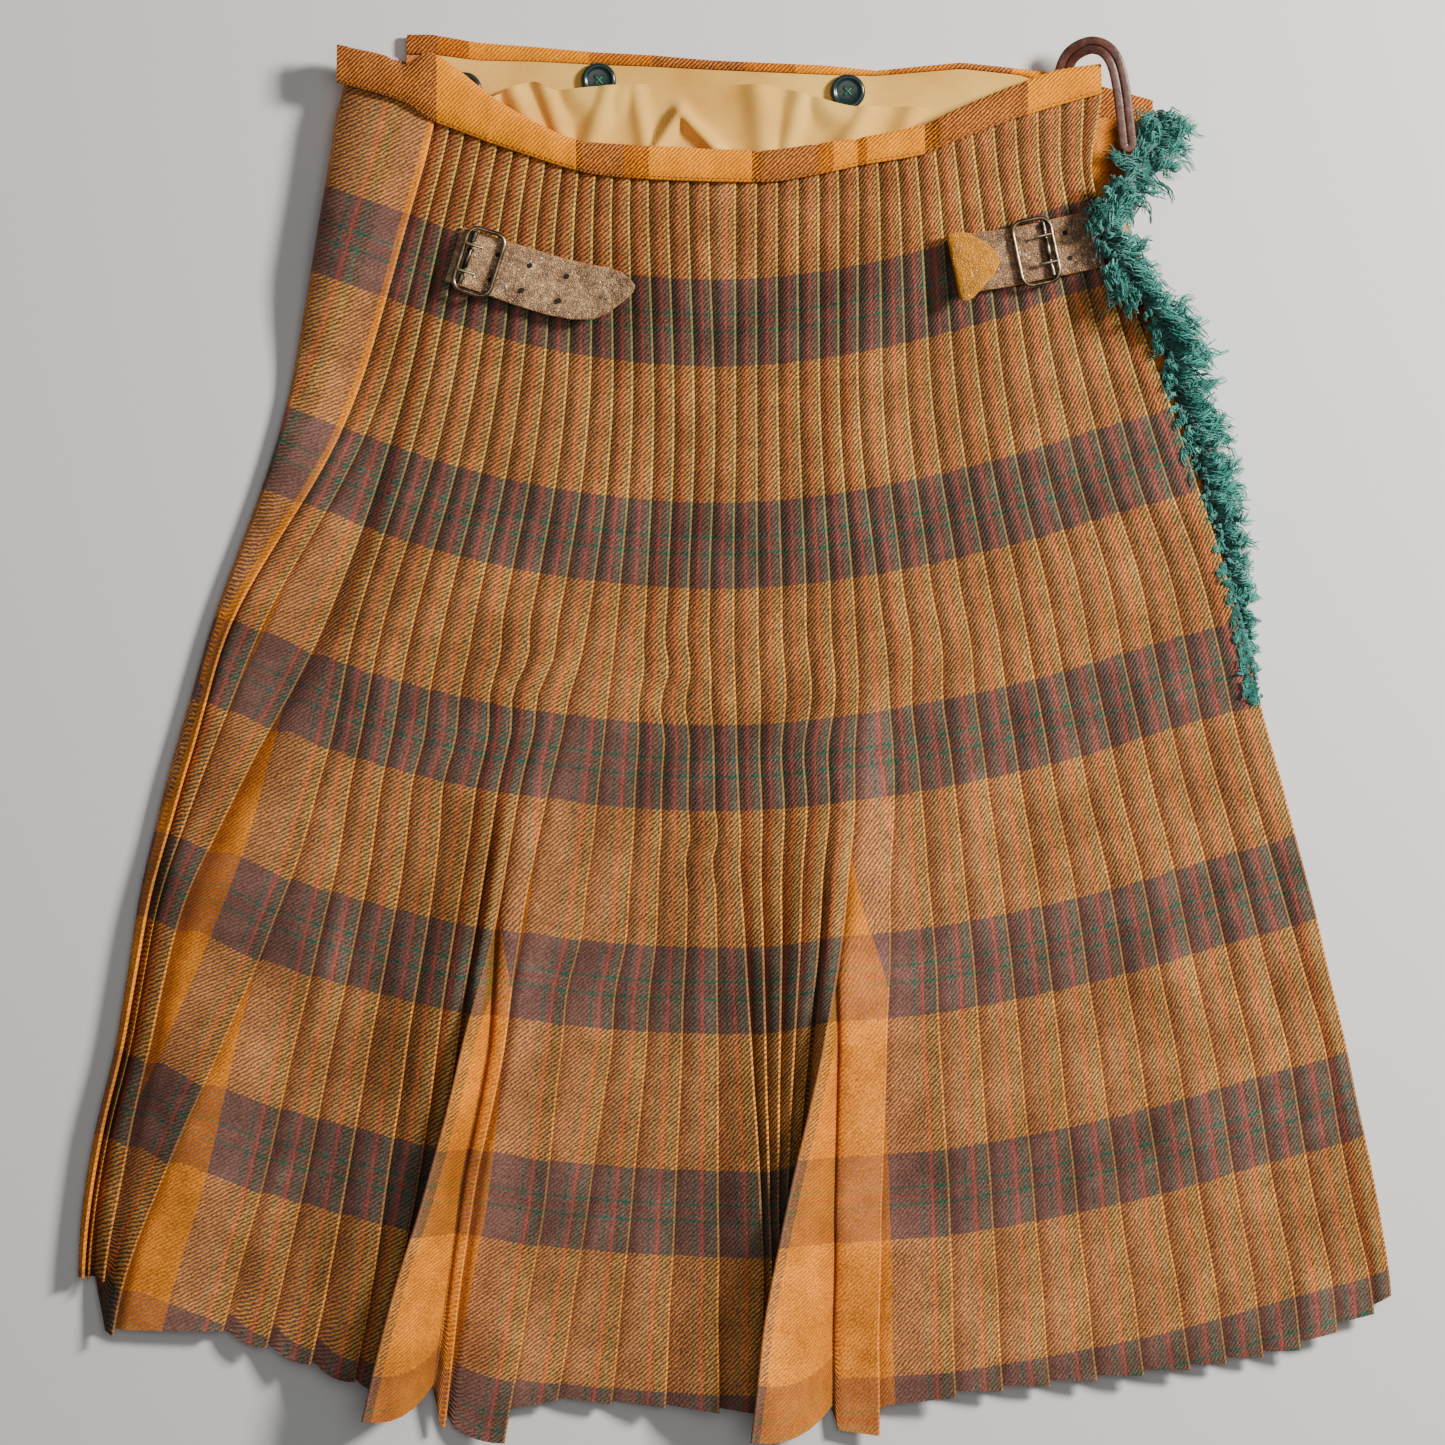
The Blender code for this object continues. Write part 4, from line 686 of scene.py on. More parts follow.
class Nodes:
    """Short names for putting a material's nodes together."""

    def __init__(self, name, roughness, sheen=0.0, metallic=0.0, specular=0.5):
        self.material = bpy.data.materials.new(name)
        self.material.use_nodes = True
        self.tree = self.material.node_tree
        self.shader = self.tree.nodes["Principled BSDF"]
        self.shader.inputs["Roughness"].default_value = roughness
        self.shader.inputs["Metallic"].default_value = metallic
        self.shader.inputs["Sheen Weight"].default_value = sheen
        self.shader.inputs["Sheen Roughness"].default_value = 0.5
        self.shader.inputs["Specular IOR Level"].default_value = specular

    def link(self, source, target):
        if isinstance(source, (int, float, tuple)):
            target.default_value = source
        else:
            self.tree.links.new(source, target)

    def attribute(self, name):
        node = self.tree.nodes.new("ShaderNodeAttribute")
        node.attribute_name = name
        return node.outputs["Fac"]

    def facing_right(self):
        """How steeply the surface faces +x, from 0 where it lies flat to 1."""
        normal = self.tree.nodes.new("ShaderNodeNewGeometry").outputs["Normal"]
        split = self.tree.nodes.new("ShaderNodeSeparateXYZ")
        self.tree.links.new(normal, split.inputs[0])
        return self.clamp(self.math("MULTIPLY", self.math("SUBTRACT", split.outputs[0], 0.35), 2.2))

    def math(self, kind, a, b=0.0, c=0.0):
        node = self.tree.nodes.new("ShaderNodeMath")
        node.operation = kind
        for value, socket in zip((a, b, c), node.inputs):
            self.link(value, socket)
        return node.outputs[0]

    def clamp(self, value):
        return self.math("MINIMUM", self.math("MAXIMUM", value, 0.0), 1.0)

    def ramp(self, value, stops, constant=False):
        node = self.tree.nodes.new("ShaderNodeValToRGB")
        ramp = node.color_ramp
        ramp.interpolation = "CONSTANT" if constant else "LINEAR"
        while len(ramp.elements) < len(stops):
            ramp.elements.new(0.5)
        for element, (place, colour) in zip(ramp.elements, stops):
            element.position = place
            element.color = colour
        self.link(value, node.inputs["Fac"])
        return node.outputs["Color"]

    def mix(self, share, a, b, kind="MIX"):
        node = self.tree.nodes.new("ShaderNodeMix")
        node.data_type = "RGBA"
        node.blend_type = kind
        self.link(share, node.inputs[0])
        self.link(a, node.inputs[6])
        self.link(b, node.inputs[7])
        return node.outputs[2]

    def times(self, a, b):
        return self.mix(1.0, a, b, "MULTIPLY")

    def toned(self, colour, value, low, high):
        """A colour multiplied by two tones, each (place on the value, red, green, blue)."""
        return self.times(colour, self.ramp(value, [(stop[0], stop[1:] + (1.0,)) for stop in (low, high)]))

    def place(self):
        return self.tree.nodes.new("ShaderNodeTexCoord").outputs["Object"]

    def noise(self, scale, detail=2.0, roughness=0.5):
        node = self.tree.nodes.new("ShaderNodeTexNoise")
        node.inputs["Scale"].default_value = scale
        node.inputs["Detail"].default_value = detail
        node.inputs["Roughness"].default_value = roughness
        self.tree.links.new(self.place(), node.inputs["Vector"])
        return node.outputs["Fac"]

    def bump(self, height, distance, strength=1.0):
        node = self.tree.nodes.new("ShaderNodeBump")
        node.inputs["Distance"].default_value = distance
        node.inputs["Strength"].default_value = strength
        self.link(height, node.inputs["Height"])
        self.tree.links.new(node.outputs["Normal"], self.shader.inputs["Normal"])

    def colour(self, value):
        self.link(value, self.shader.inputs["Base Color"])


SAFFRON = rgb(252, 144, 0)
SAFFRON_WEFT = rgb(238, 156, 68)
DARK_BROWN = rgb(134, 97, 88)
DARK_GREEN = rgb(100, 88, 68)
LINE_TEAL = rgb(36, 112, 92)
LINE_RED = rgb(216, 84, 78)
WEFT_RED = rgb(144, 88, 80)
# Painted highlight: each crease's edge is painted paler and gold, as where it catches the key light; the
# next three names set its gold, its paleness and its strength.
CREASE_HIGHLIGHT_GOLD = rgb(196, 136, 50)
CREASE_HIGHLIGHT = (1.55, 1.45, 1.35, 1.0)      # painted highlight: a crease's edge is painted paler by this share
CREASE_HIGHLIGHT_SHARE = 0.6
STEEP_SIDE_PAINTED_SHADE = (0.78, 0.70, 0.04, 1.0)         # painted shade: cloth that faces the key light at +x is painted deeper, so its saffron does not wash out
CONTACT_SHADE = (0.40, 0.34, 0.34, 1.0)     # cloth right beside the crease over it lies in its shade
CONTACT_REACH = 6.0


def tartan_cloth(name):
    """Worsted 2/2 twill: stripes in both ways of the cloth, crossing thread by thread."""
    made = Nodes(name, 0.88, sheen=0.05, specular=0.14)
    waver = made.math("MULTIPLY", made.math("SUBTRACT", made.noise(140.0), 0.5), 0.7)
    warp = made.attribute("warp")
    weft = made.attribute("weft")
    centre = 0.5
    fine = FINE_HALF / SETT
    threads = []
    for way, ground, middle_line, beside in ((warp, SAFFRON, LINE_RED, DARK_GREEN),
                                             (weft, SAFFRON_WEFT, WEFT_RED, DARK_BROWN)):
        stops = [
            (0.0, ground), (centre - DARK_HALF / SETT, DARK_BROWN),
            (centre - FINE_LINE / SETT - fine, LINE_TEAL),
            (centre - FINE_LINE / SETT + fine, DARK_BROWN), (centre - fine, middle_line),
            (centre + fine, beside), (centre + FINE_LINE / SETT - fine, LINE_TEAL),
            (centre + FINE_LINE / SETT + fine, beside), (centre + GREEN_REACH / SETT, DARK_BROWN),
            (centre + DARK_HALF / SETT, ground),
        ]
        along = made.math("ADD", way, waver)
        phase = made.math("FRACT", made.math("ADD", made.math("DIVIDE", along, SETT), 10.5))
        threads.append(made.ramp(phase, stops, constant=True))
    wobble = made.math("MULTIPLY", made.noise(380.0, 3.0), 0.9)
    diagonal = made.math("ADD", made.math("DIVIDE", made.math("ADD", warp, weft), TWILL), wobble)
    wave = made.math("SINE", made.math("MULTIPLY", diagonal, 2.0 * math.pi))
    heather = made.noise(900.0, 3.0)
    uneven = made.math("MULTIPLY_ADD", heather, 0.7, 0.12)
    over = made.math("MULTIPLY_ADD", wave, 0.42, uneven)
    cloth = made.mix(over, threads[0], threads[1])
    cloth = made.toned(cloth, heather, (0.3, 0.62, 0.61, 0.60), (0.7, 1.26, 1.26, 1.26))
    cloth = made.toned(cloth, made.noise(22.0, 3.0), (0.3, 0.72, 0.69, 0.66), (0.7, 1.16, 1.16, 1.15))
    cloth = made.toned(cloth, made.noise(75.0, 4.0), (0.34, 0.84, 0.83, 0.82), (0.66, 1.14, 1.13, 1.11))
    rib = made.math("MULTIPLY_ADD", wave, 0.5, 0.5)
    cloth = made.toned(cloth, rib, (0.0, 0.78, 0.76, 0.74), (1.0, 1.12, 1.12, 1.12))
    # painted shade on cloth that faces the key light at +x
    cloth = made.mix(made.facing_right(), cloth, made.times(cloth, STEEP_SIDE_PAINTED_SHADE))
    crease = made.attribute("crease")
    # painted shadow: cloth just right of the crease over it is painted darker
    from_edge = made.math("SUBTRACT", UNDER_CREASE + CONTACT_REACH, crease)
    contact_shadow_share = made.clamp(made.math("DIVIDE", from_edge, CONTACT_REACH))
    contact_shadow_share = made.math("MULTIPLY", contact_shadow_share, made.math("GREATER_THAN", crease, OFF_CREASE + 3.0))
    cloth = made.mix(contact_shadow_share, cloth, made.times(cloth, CONTACT_SHADE))
    # painted highlight along the edge of each crease
    near = made.math("SUBTRACT", 1.0, made.math("DIVIDE", crease, CREASE_EDGE))
    near = made.math("MULTIPLY", made.math("MAXIMUM", near, 0.0), CREASE_HIGHLIGHT_SHARE)
    edge = made.mix(0.28, made.times(cloth, CREASE_HIGHLIGHT), CREASE_HIGHLIGHT_GOLD)
    made.colour(made.mix(near, cloth, edge))
    rib = made.math("MULTIPLY_ADD", wave, 0.5, made.math("MULTIPLY", heather, 0.6))
    made.bump(rib, 0.0003, 0.85)
    return made.material


tartan = tartan_cloth("saffron_tartan")
back_lengths = crease_lengths()
back_rows = [back_row(number, back_lengths) for number in range(BACK_ROWS + 1)]
pleated_back = cloth_piece("kilt_back", back_rows, BACK_WALL, tartan)
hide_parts("pleated_back")


# The over apron: the flat outer front that the kilt lies on. It wraps round the left side, and its
# free edge rolls up past the right hip. Its own strip of binding shows as a corner by the loop.
APRON_ROWS = (
    # y, where the flat part ends past the back's right edge, width of the free edge, its curl
    (322.0, 2.2, 25.0, 0.12), (311.0, 2.2, 25.0, 0.15), (297.0, 2.2, 25.0, 0.25),
    (278.0, 2.2, 30.0, 0.6), (258.0, 2.2, 35.0, 0.95), (232.0, 2.2, 35.0, 1.0),
    (212.0, 2.6, 26.0, 0.8), (195.0, 2.8, 10.0, 0.45), (178.0, 2.8, 5.0, 0.2),
    (160.0, 1.0, 4.0, 0.0), (130.0, 0.5, 4.0, 0.0), (100.0, 0.0, 4.0, 0.0),
    (30.0, -6.0, 4.0, 0.0), (-60.0, -12.0, 4.0, 0.0), (-150.0, -12.0, 4.0, 0.0),
    (-215.0, -12.0, 4.0, 0.0), (-262.0, -14.0, 4.0, 0.0),
)
# the upper edge of its binding: x, y
APRON_TOP = ((-177.0, 331.0), (-144.5, 325.0), (-19.0, 313.0), (149.5, 306.0), (178.0, 316.0),
             (203.5, 309.0))
APRON_LEFT_GAP = 0.8        # it starts this far from the side part's turned edge
APRON_WALL = 1.1
APRON_STEPS = 70            # points down it, across its flat part and round its curl
APRON_FLAT_STEPS = 24
APRON_CURL_STEPS = 10
OVER_BAND_HEIGHT = 14.5
OVER_BAND_STEPS = 96
OVER_BAND_GAP = 0.1
APRON_LINE_FROM_EDGE = 55.0     # the first red line runs this far in from the free edge


def hem_sag(x, share):
    """How far an apron's row sags at x: not at all in its upper half, fully at the hem."""
    return (apron_hem_y(x) - APRON_HEM_Y) * max(0.0, share * 2.0 - 1.0)


def over_apron_row(y):
    """One row of the over apron, flat on the surface and then rolled up at its free edge."""
    top = APRON_ROWS[0][0]
    share = (top - y) / (top - APRON_HEM_Y)
    past, free_width, curl = read_columns(APRON_ROWS, y)
    left = fold_x(-1, y) + SIDE_WRAP + APRON_LEFT_GAP
    flat_end = fold_x(PLEATS, y) + past
    turn = math.pi * curl + 0.001
    points = []

    def at(x, z, from_edge):
        band = read_line(APRON_TOP, x) - OVER_BAND_HEIGHT - OVER_BAND_GAP
        rise = (band - top) * max(0.0, 1.0 - share * 6.0)
        here = y + rise + hem_sag(x, share)
        return (x, here, z, APRON_LINE_FROM_EDGE - from_edge, band - here - FIRST_LINE_BELOW_BAND,
                from_edge)

    for step in range(APRON_FLAT_STEPS + 1):
        x = blend(left, flat_end, step / APRON_FLAT_STEPS)
        points.append(at(x, UNDERSIDE, flat_end - x + free_width))
    for step in range(1, APRON_CURL_STEPS + 1):
        angle = turn * step / APRON_CURL_STEPS
        points.append(at(flat_end + free_width / turn * math.sin(angle),
                         UNDERSIDE + free_width / turn * (1.0 - math.cos(angle)),
                         free_width * (1.0 - step / APRON_CURL_STEPS)))
    return points


apron_heights = sorted({row[0] for row in APRON_ROWS}
                       | {blend(APRON_ROWS[0][0], APRON_HEM_Y, step / APRON_STEPS)
                          for step in range(APRON_STEPS + 1)}, reverse=True)
apron_rows = [over_apron_row(y) for y in apron_heights]
over_apron = cloth_piece("over_apron_cloth", apron_rows, APRON_WALL, tartan)
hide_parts("over_apron")


BAND_GOLD = rgb(254, 158, 0)
BROWN = rgb(104, 66, 52)
TAN_ORANGE = rgb(176, 98, 30)
DEEP_ORANGE = rgb(150, 80, 16)
# painted shadow: the dark blocks laid where the back binding puckers
PUCKER_SHADOW_BROWN = rgb(44, 22, 12)
BAND_TWILL = 2.2


def binding_cloth(name, blocks):
    """Tartan cut across its stripes: blocks of warp colour along x under saffron weft, in twill."""
    made = Nodes(name, 0.9, sheen=0.03, specular=0.1)
    split = made.tree.nodes.new("ShaderNodeSeparateXYZ")
    made.tree.links.new(made.place(), split.inputs[0])
    low = blocks[0][0]
    high = blocks[-1][0]
    waver = made.math("MULTIPLY", made.math("SUBTRACT", made.noise(140.0), 0.5), 1.2 * MM)
    across = made.math("ADD", split.outputs[0], waver)
    share = made.math("DIVIDE", made.math("SUBTRACT", across, low * MM), (high - low) * MM)
    warp = made.ramp(share, [((x - low) / (high - low), colour) for x, colour in blocks[:-1]],
                     constant=True)
    diagonal = made.math("SUBTRACT", split.outputs[0], split.outputs[1])
    wobble = made.math("MULTIPLY", made.noise(380.0, 3.0), 5.0)
    pitch = 2.0 * math.pi / (BAND_TWILL * MM)
    wave = made.math("SINE", made.math("MULTIPLY_ADD", diagonal, pitch, wobble))
    heather = made.noise(900.0, 3.0)
    over = made.math("MULTIPLY_ADD", wave, 0.32, made.math("MULTIPLY", heather, 0.7))
    cloth = made.mix(over, warp, SAFFRON)
    cloth = made.toned(cloth, heather, (0.3, 0.76, 0.75, 0.74), (0.7, 1.16, 1.16, 1.16))
    rib = made.math("MULTIPLY_ADD", wave, 0.5, 0.5)
    cloth = made.toned(cloth, rib, (0.0, 0.74, 0.71, 0.68), (1.0, 1.10, 1.10, 1.10))
    made.colour(made.toned(cloth, made.noise(45.0, 3.0), (0.3, 0.80, 0.78, 0.76), (0.7, 1.1, 1.1, 1.1)))
    made.bump(made.math("MULTIPLY_ADD", wave, 0.5, made.math("MULTIPLY", heather, 0.6)), 0.0004, 0.9)
    return made.material


def loft_piece(name, rings, material, sharp=60.0):
    """A closed solid through rings of x, y, z points in millimetres, with a face on each end."""
    count = len(rings[0])
    places = [place for ring in rings for place in ring]
    faces = []
    for r in range(len(rings) - 1):
        start = r * count
        for i in range(count):
            k = (i + 1) % count
            faces.append((start + i, start + k, start + count + k, start + count + i))
    faces.append(tuple(range(count))[::-1])
    faces.append(tuple(range((len(rings) - 1) * count, len(rings) * count)))
    return mesh_piece(name, places, faces, material, sharp, turn_out=True)


over_binding = binding_cloth("over_binding", (
    (-180.0, BROWN), (-140.0, BAND_GOLD), (-74.0, BROWN), (-32.0, BAND_GOLD), (34.0, BROWN),
    (76.0, BAND_GOLD), (142.0, BROWN), (205.0, BROWN)))


def over_band_rings():
    rings = []
    low_x = APRON_TOP[0][0]
    high_x = APRON_TOP[-1][0]
    for step in range(OVER_BAND_STEPS + 1):
        x = blend(low_x, high_x, step / OVER_BAND_STEPS)
        high = read_line(APRON_TOP, x)
        low = high - OVER_BAND_HEIGHT
        rings.append([(x, low, 0.0), (x, high - 0.6, 0.0), (x, high, 0.6), (x, high - 0.6, 1.2),
                      (x, blend(low, high, 0.5), 1.35), (x, low, 1.2)])
    return rings


waistband_over = loft_piece("over_apron_band", over_band_rings(), over_binding)
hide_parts("waistband_over")


# The under apron: the flat inner front. Only its binding shows, above the lining inside the waist,
# with a free left end. Cloth and binding lie on the over apron.
FRONT_BAND = (
    # x, upper and lower edge of the binding
    (-158.0, 340.5, 331.0), (-146.0, 340.5, 331.0), (-123.0, 336.5, 328.0), (-96.0, 334.5, 327.5),
    (-68.0, 332.0, 326.0), (-39.0, 330.5, 325.0), (-10.5, 328.0, 323.5), (46.0, 325.5, 321.0),
    (69.0, 323.0, 320.5), (110.5, 327.0, 324.0), (138.5, 324.0, 321.0), (154.0, 322.0, 316.0),
)
FRONT_BAND_LOW_Z = 1.5
FRONT_BAND_THICK = 2.6
FRONT_BAND_STEPS = 120
BAND_GRIPS = 0.3            # cloth starts this far under the binding's lower edge
UNDER_APRON_Z = 2.1
UNDER_APRON_SHORT = 24.0    # its hem lies this far short of the over apron's
UNDER_SPREAD = 0.06         # it spreads out from under the binding over this share of its length
# its side edges: y, x
UNDER_LEFT = ((331.0, -158.0), (150.0, -196.0), (-262.0, -270.0))
UNDER_RIGHT = ((322.0, 152.0), (265.0, 158.0), (149.0, 198.0), (-79.0, 258.0), (-262.0, 290.0))
UNDER_ROWS = 40
UNDER_COLUMNS = 40


def front_low(x):
    return read_line([(row[0], row[2]) for row in FRONT_BAND], x)


def front_high(x):
    return read_line([(row[0], row[1]) for row in FRONT_BAND], x)


def under_apron_row(share):
    row = []
    for step in range(UNDER_COLUMNS + 1):
        across = step / UNDER_COLUMNS
        top_x = blend(FRONT_BAND[0][0], FRONT_BAND[-1][0], across)
        y = blend(front_low(top_x) - BAND_GRIPS, APRON_HEM_Y + UNDER_APRON_SHORT, share)
        inside = smoothstep(0.0, UNDER_SPREAD, share)
        x = blend(top_x, blend(read_line(UNDER_LEFT, y), read_line(UNDER_RIGHT, y), across), inside)
        sag = hem_sag(x, share)
        row.append((x, y + sag, UNDER_APRON_Z, x + 20.0, 300.0 - y - sag - FIRST_LINE_BELOW_BAND,
                    OFF_CREASE))
    return row


under_rows = [under_apron_row(step / UNDER_ROWS) for step in range(UNDER_ROWS + 1)]
under_apron = cloth_piece("under_apron_cloth", under_rows, APRON_WALL, tartan)
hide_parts("under_apron")

front_binding = binding_cloth("front_binding", (
    (-160.0, BROWN), (-143.0, TAN_ORANGE), (-128.0, BAND_GOLD), (-70.0, TAN_ORANGE), (-40.0, BROWN),
    (5.0, TAN_ORANGE), (30.0, BAND_GOLD), (75.0, TAN_ORANGE), (105.0, BROWN), (135.0, BAND_GOLD),
    (156.0, BAND_GOLD)))


def front_band_rings():
    rings = []
    z = FRONT_BAND_LOW_Z
    for step in range(FRONT_BAND_STEPS + 1):
        x = blend(FRONT_BAND[0][0], FRONT_BAND[-1][0], step / FRONT_BAND_STEPS)
        low = front_low(x)
        high = front_high(x)
        puff = 0.25 * noise.noise(Vector((x / 9.0, 1.0, 5.0)))
        top = z + FRONT_BAND_THICK + puff
        rings.append([(x, low, z), (x, high - 0.8, z), (x, high - 0.1, z + 0.7),
                      (x, high, z + 0.5 * FRONT_BAND_THICK), (x, high - 0.3, top - 0.6),
                      (x, high - 1.2, top), (x, blend(low, high, 0.5), top + 0.15),
                      (x, low + 0.5, top - 0.1), (x, low, top - 0.6)])
    return rings


waistband_front = loft_piece("under_apron_band", front_band_rings(), front_binding)
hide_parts("waistband_front")


# The lining: a facing of gold cotton twill sewn under the waist, which carries the brace buttons,
# and a second, looser piece below them that buckles into a few soft folds.
FACING_Z = 3.5
FACING_WALL = 0.9
FACING_LOW_Y = 236.0
FACING_ENDS = (-148.0, 150.0)
FACING_STEPS = (80, 12)         # points across and down it
LOWER_LINING_TOP = (
    # its upper edge: x, y
    (-122.0, 305.0), (-115.5, 310.0), (-96.0, 317.0), (-86.0, 313.0), (-68.0, 314.5),
    (-39.0, 316.0), (15.0, 315.5), (38.5, 310.0), (61.0, 305.0), (84.5, 305.0), (98.5, 303.5),
)
LOWER_LINING_LOW_Y = 226.0
LOWER_LINING_Z = 5.4
LOWER_LINING_STEPS = (150, 48)
LINING_TWILL = 1.3
BUTTON_RADIUS = 8.5
BUTTONS = {"button_left": (-130.0, 313.5), "button_middle": (-65.0, 318.0),
           "button_right": (55.5, 312.5)}
LINING_FOLDS = (
    # x at the top, lean (mm of x for each mm down), width, height
    (-108.0, 0.5, 6.5, 4.6), (-92.0, 0.35, 5.0, 3.8), (-60.0, -0.3, 6.5, 4.8), (-48.0, 0.2, 4.5, 2.6),
    (12.0, 0.1, 7.5, 3.8), (34.0, -0.25, 5.5, 3.2), (70.0, -0.5, 7.5, 4.4), (92.0, -0.4, 6.0, 2.6),
)
LINING_FOLDS_FROM_Y = 316.0
TENT_PEAK = (-25.7, 302.0)      # one stiff fold stands up like the front of a tent, on two legs
TENT_FEET = ((-37.5, 284.0), (-7.5, 284.0))
TENT_RISE = 6.5
TENT_LEG_WIDTH = 3.6
BUTTON_LIFT = 3.1               # the middle button holds the lining up by this
LIFT_BETWEEN = (3.5, 16.0)      # full at the first of these distances from its rim, none at the second


def lining_twill():
    made = Nodes("lining_twill", 0.75, sheen=0.2, specular=0.3)
    split = made.tree.nodes.new("ShaderNodeSeparateXYZ")
    made.tree.links.new(made.place(), split.inputs[0])
    diagonal = made.math("SUBTRACT", split.outputs[0], split.outputs[1])
    wave = made.math("SINE", made.math("MULTIPLY", diagonal, 2.0 * math.pi / (LINING_TWILL * MM)))
    base = made.ramp(made.noise(18.0, 4.0), [(0.3, rgb(210, 144, 48)), (0.7, rgb(254, 208, 106))])
    rib = made.math("MULTIPLY_ADD", wave, 0.5, 0.5)
    made.colour(made.toned(base, rib, (0.0, 0.84, 0.83, 0.80), (1.0, 1.08, 1.08, 1.06)))
    made.bump(wave, 0.00012, 0.7)
    return made.material


def lining_height(x, y):
    """Height of the lower lining: lifted by a button, a tent or a soft fold, whichever is highest."""
    near_button = min(math.hypot(x - place[0], y - place[1]) for place in BUTTONS.values())
    lift = BUTTON_LIFT * (1.0 - smoothstep(BUTTON_RADIUS + LIFT_BETWEEN[0],
                                           BUTTON_RADIUS + LIFT_BETWEEN[1], near_button))
    tent = 0.0
    for foot in TENT_FEET:
        leg = Vector(TENT_PEAK) - Vector(foot)
        share = clamp01((Vector((x, y)) - Vector(foot)).dot(leg) / leg.length_squared)
        off = (Vector((x, y)) - Vector(foot) - leg * share).length
        tent = max(tent, TENT_RISE * blend(0.75, 1.0, share) * math.exp(-(off / TENT_LEG_WIDTH) ** 2))
    soft = 0.0
    for top_x, lean, width, height in LINING_FOLDS:
        here = top_x + lean * (LINING_FOLDS_FROM_Y - y)
        soft = max(soft, height * math.exp(-((x - here) / width) ** 2))
    return LOWER_LINING_Z + max(lift, tent, soft)


def lining_rows(left, right, steps, top_at, low_y, height_at):
    """Rows of a lining piece from its upper edge down to low_y."""
    across, down = steps
    rows = []
    for number in range(down + 1):
        row = []
        for step in range(across + 1):
            x = blend(left, right, step / across)
            y = blend(top_at(x), low_y, number / down)
            row.append((x, y, height_at(x, y), 0.0, 0.0, OFF_CREASE))
        rows.append(row)
    return rows


gold_twill = lining_twill()
facing_rows = lining_rows(FACING_ENDS[0], FACING_ENDS[1], FACING_STEPS,
                          lambda x: front_low(x) - BAND_GRIPS, FACING_LOW_Y, lambda x, y: FACING_Z)
facing = cloth_piece("waist_facing", facing_rows, FACING_WALL, gold_twill)
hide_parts("lining_facing")

lower_rows = lining_rows(LOWER_LINING_TOP[0][0], LOWER_LINING_TOP[-1][0], LOWER_LINING_STEPS,
                         lambda x: read_smooth(LOWER_LINING_TOP, x), LOWER_LINING_LOW_Y, lining_height)
lower_lining = cloth_piece("lower_lining", lower_rows, FACING_WALL, gold_twill)
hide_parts("lining_lower")


# Three brace buttons: dark polished discs with a raised rim, four holes and a cross of green thread,
# sewn to the facing inside the waist.
BUTTON_LOW_Z = FACING_Z + 0.8
BUTTON_PROFILE = (
    # radius, height above the facing
    (7.3, 0.0), (8.2, 0.5), (8.5, 1.2), (8.35, 2.1), (7.9, 2.7), (7.2, 3.0), (6.6, 2.95),
    (6.1, 2.6), (5.6, 2.25), (4.6, 2.05), (2.5, 2.0), (0.6, 2.0),
)
HOLE_OUT = 1.7              # the holes lie this far out both ways
HOLE_PROFILE = ((0.85, 1.6), (0.85, 2.06), (0.3, 2.06))
THREAD_RADIUS = 0.42
THREAD_Z = 2.15
BUTTON_SIDES = 40
HOLE_SIDES = 14


def plain(name, colour, roughness, metallic=0.0, noise_scale=300.0, spread=0.15, bump=0.00005):
    """A solid finish with a fine unevenness of tone and surface."""
    made = Nodes(name, roughness, metallic=metallic)
    grain = made.noise(noise_scale, 3.0)
    dark = tuple(value * (1.0 - spread) for value in colour[:3]) + (1.0,)
    light = tuple(min(1.0, value * (1.0 + spread)) for value in colour[:3]) + (1.0,)
    made.colour(made.ramp(grain, [(0.3, dark), (0.7, light)]))
    made.bump(grain, bump, 0.6)
    return made.material


horn = plain("button_dark", rgb(24, 40, 38), 0.22)
# the button holes are near-black plugs on its face: painted shade standing in for their depth
hole_black = plain("button_hole", rgb(6, 9, 8), 0.9)
thread_green = plain("button_thread", rgb(46, 110, 78), 0.8, noise_scale=2500.0, spread=0.3)


def turned_rings(centre, profile, low, sides):
    """Rings of a turned shape from its profile of (radius, height) over low."""
    rings = []
    for radius, height in profile:
        rings.append([(centre[0] + radius * math.cos(2.0 * math.pi * i / sides),
                       centre[1] + radius * math.sin(2.0 * math.pi * i / sides), low + height)
                      for i in range(sides)])
    return rings


def tube_rings(path, radius, sides=8):
    """Rings of a round tube along points; radius is one number or one for each point."""
    rings = []
    side = None
    for index, here in enumerate(path):
        here = Vector(here)
        ahead = Vector(path[min(index + 1, len(path) - 1)]) - Vector(path[max(index - 1, 0)])
        ahead.normalize()
        if side is None:
            side = ahead.orthogonal()
        side = (side - ahead * side.dot(ahead)).normalized()
        up = ahead.cross(side)
        reach = radius[index] if isinstance(radius, (list, tuple)) else radius
        rings.append([tuple(here + (side * math.cos(a) + up * math.sin(a)) * reach)
                      for a in (2.0 * math.pi * i / sides for i in range(sides))])
    return rings


def join(piece, others):
    """Puts small pieces of one assembly into one mesh, each with its own material."""
    with bpy.context.temp_override(active_object=piece, selected_editable_objects=[piece] + others):
        bpy.ops.object.join()
    return piece


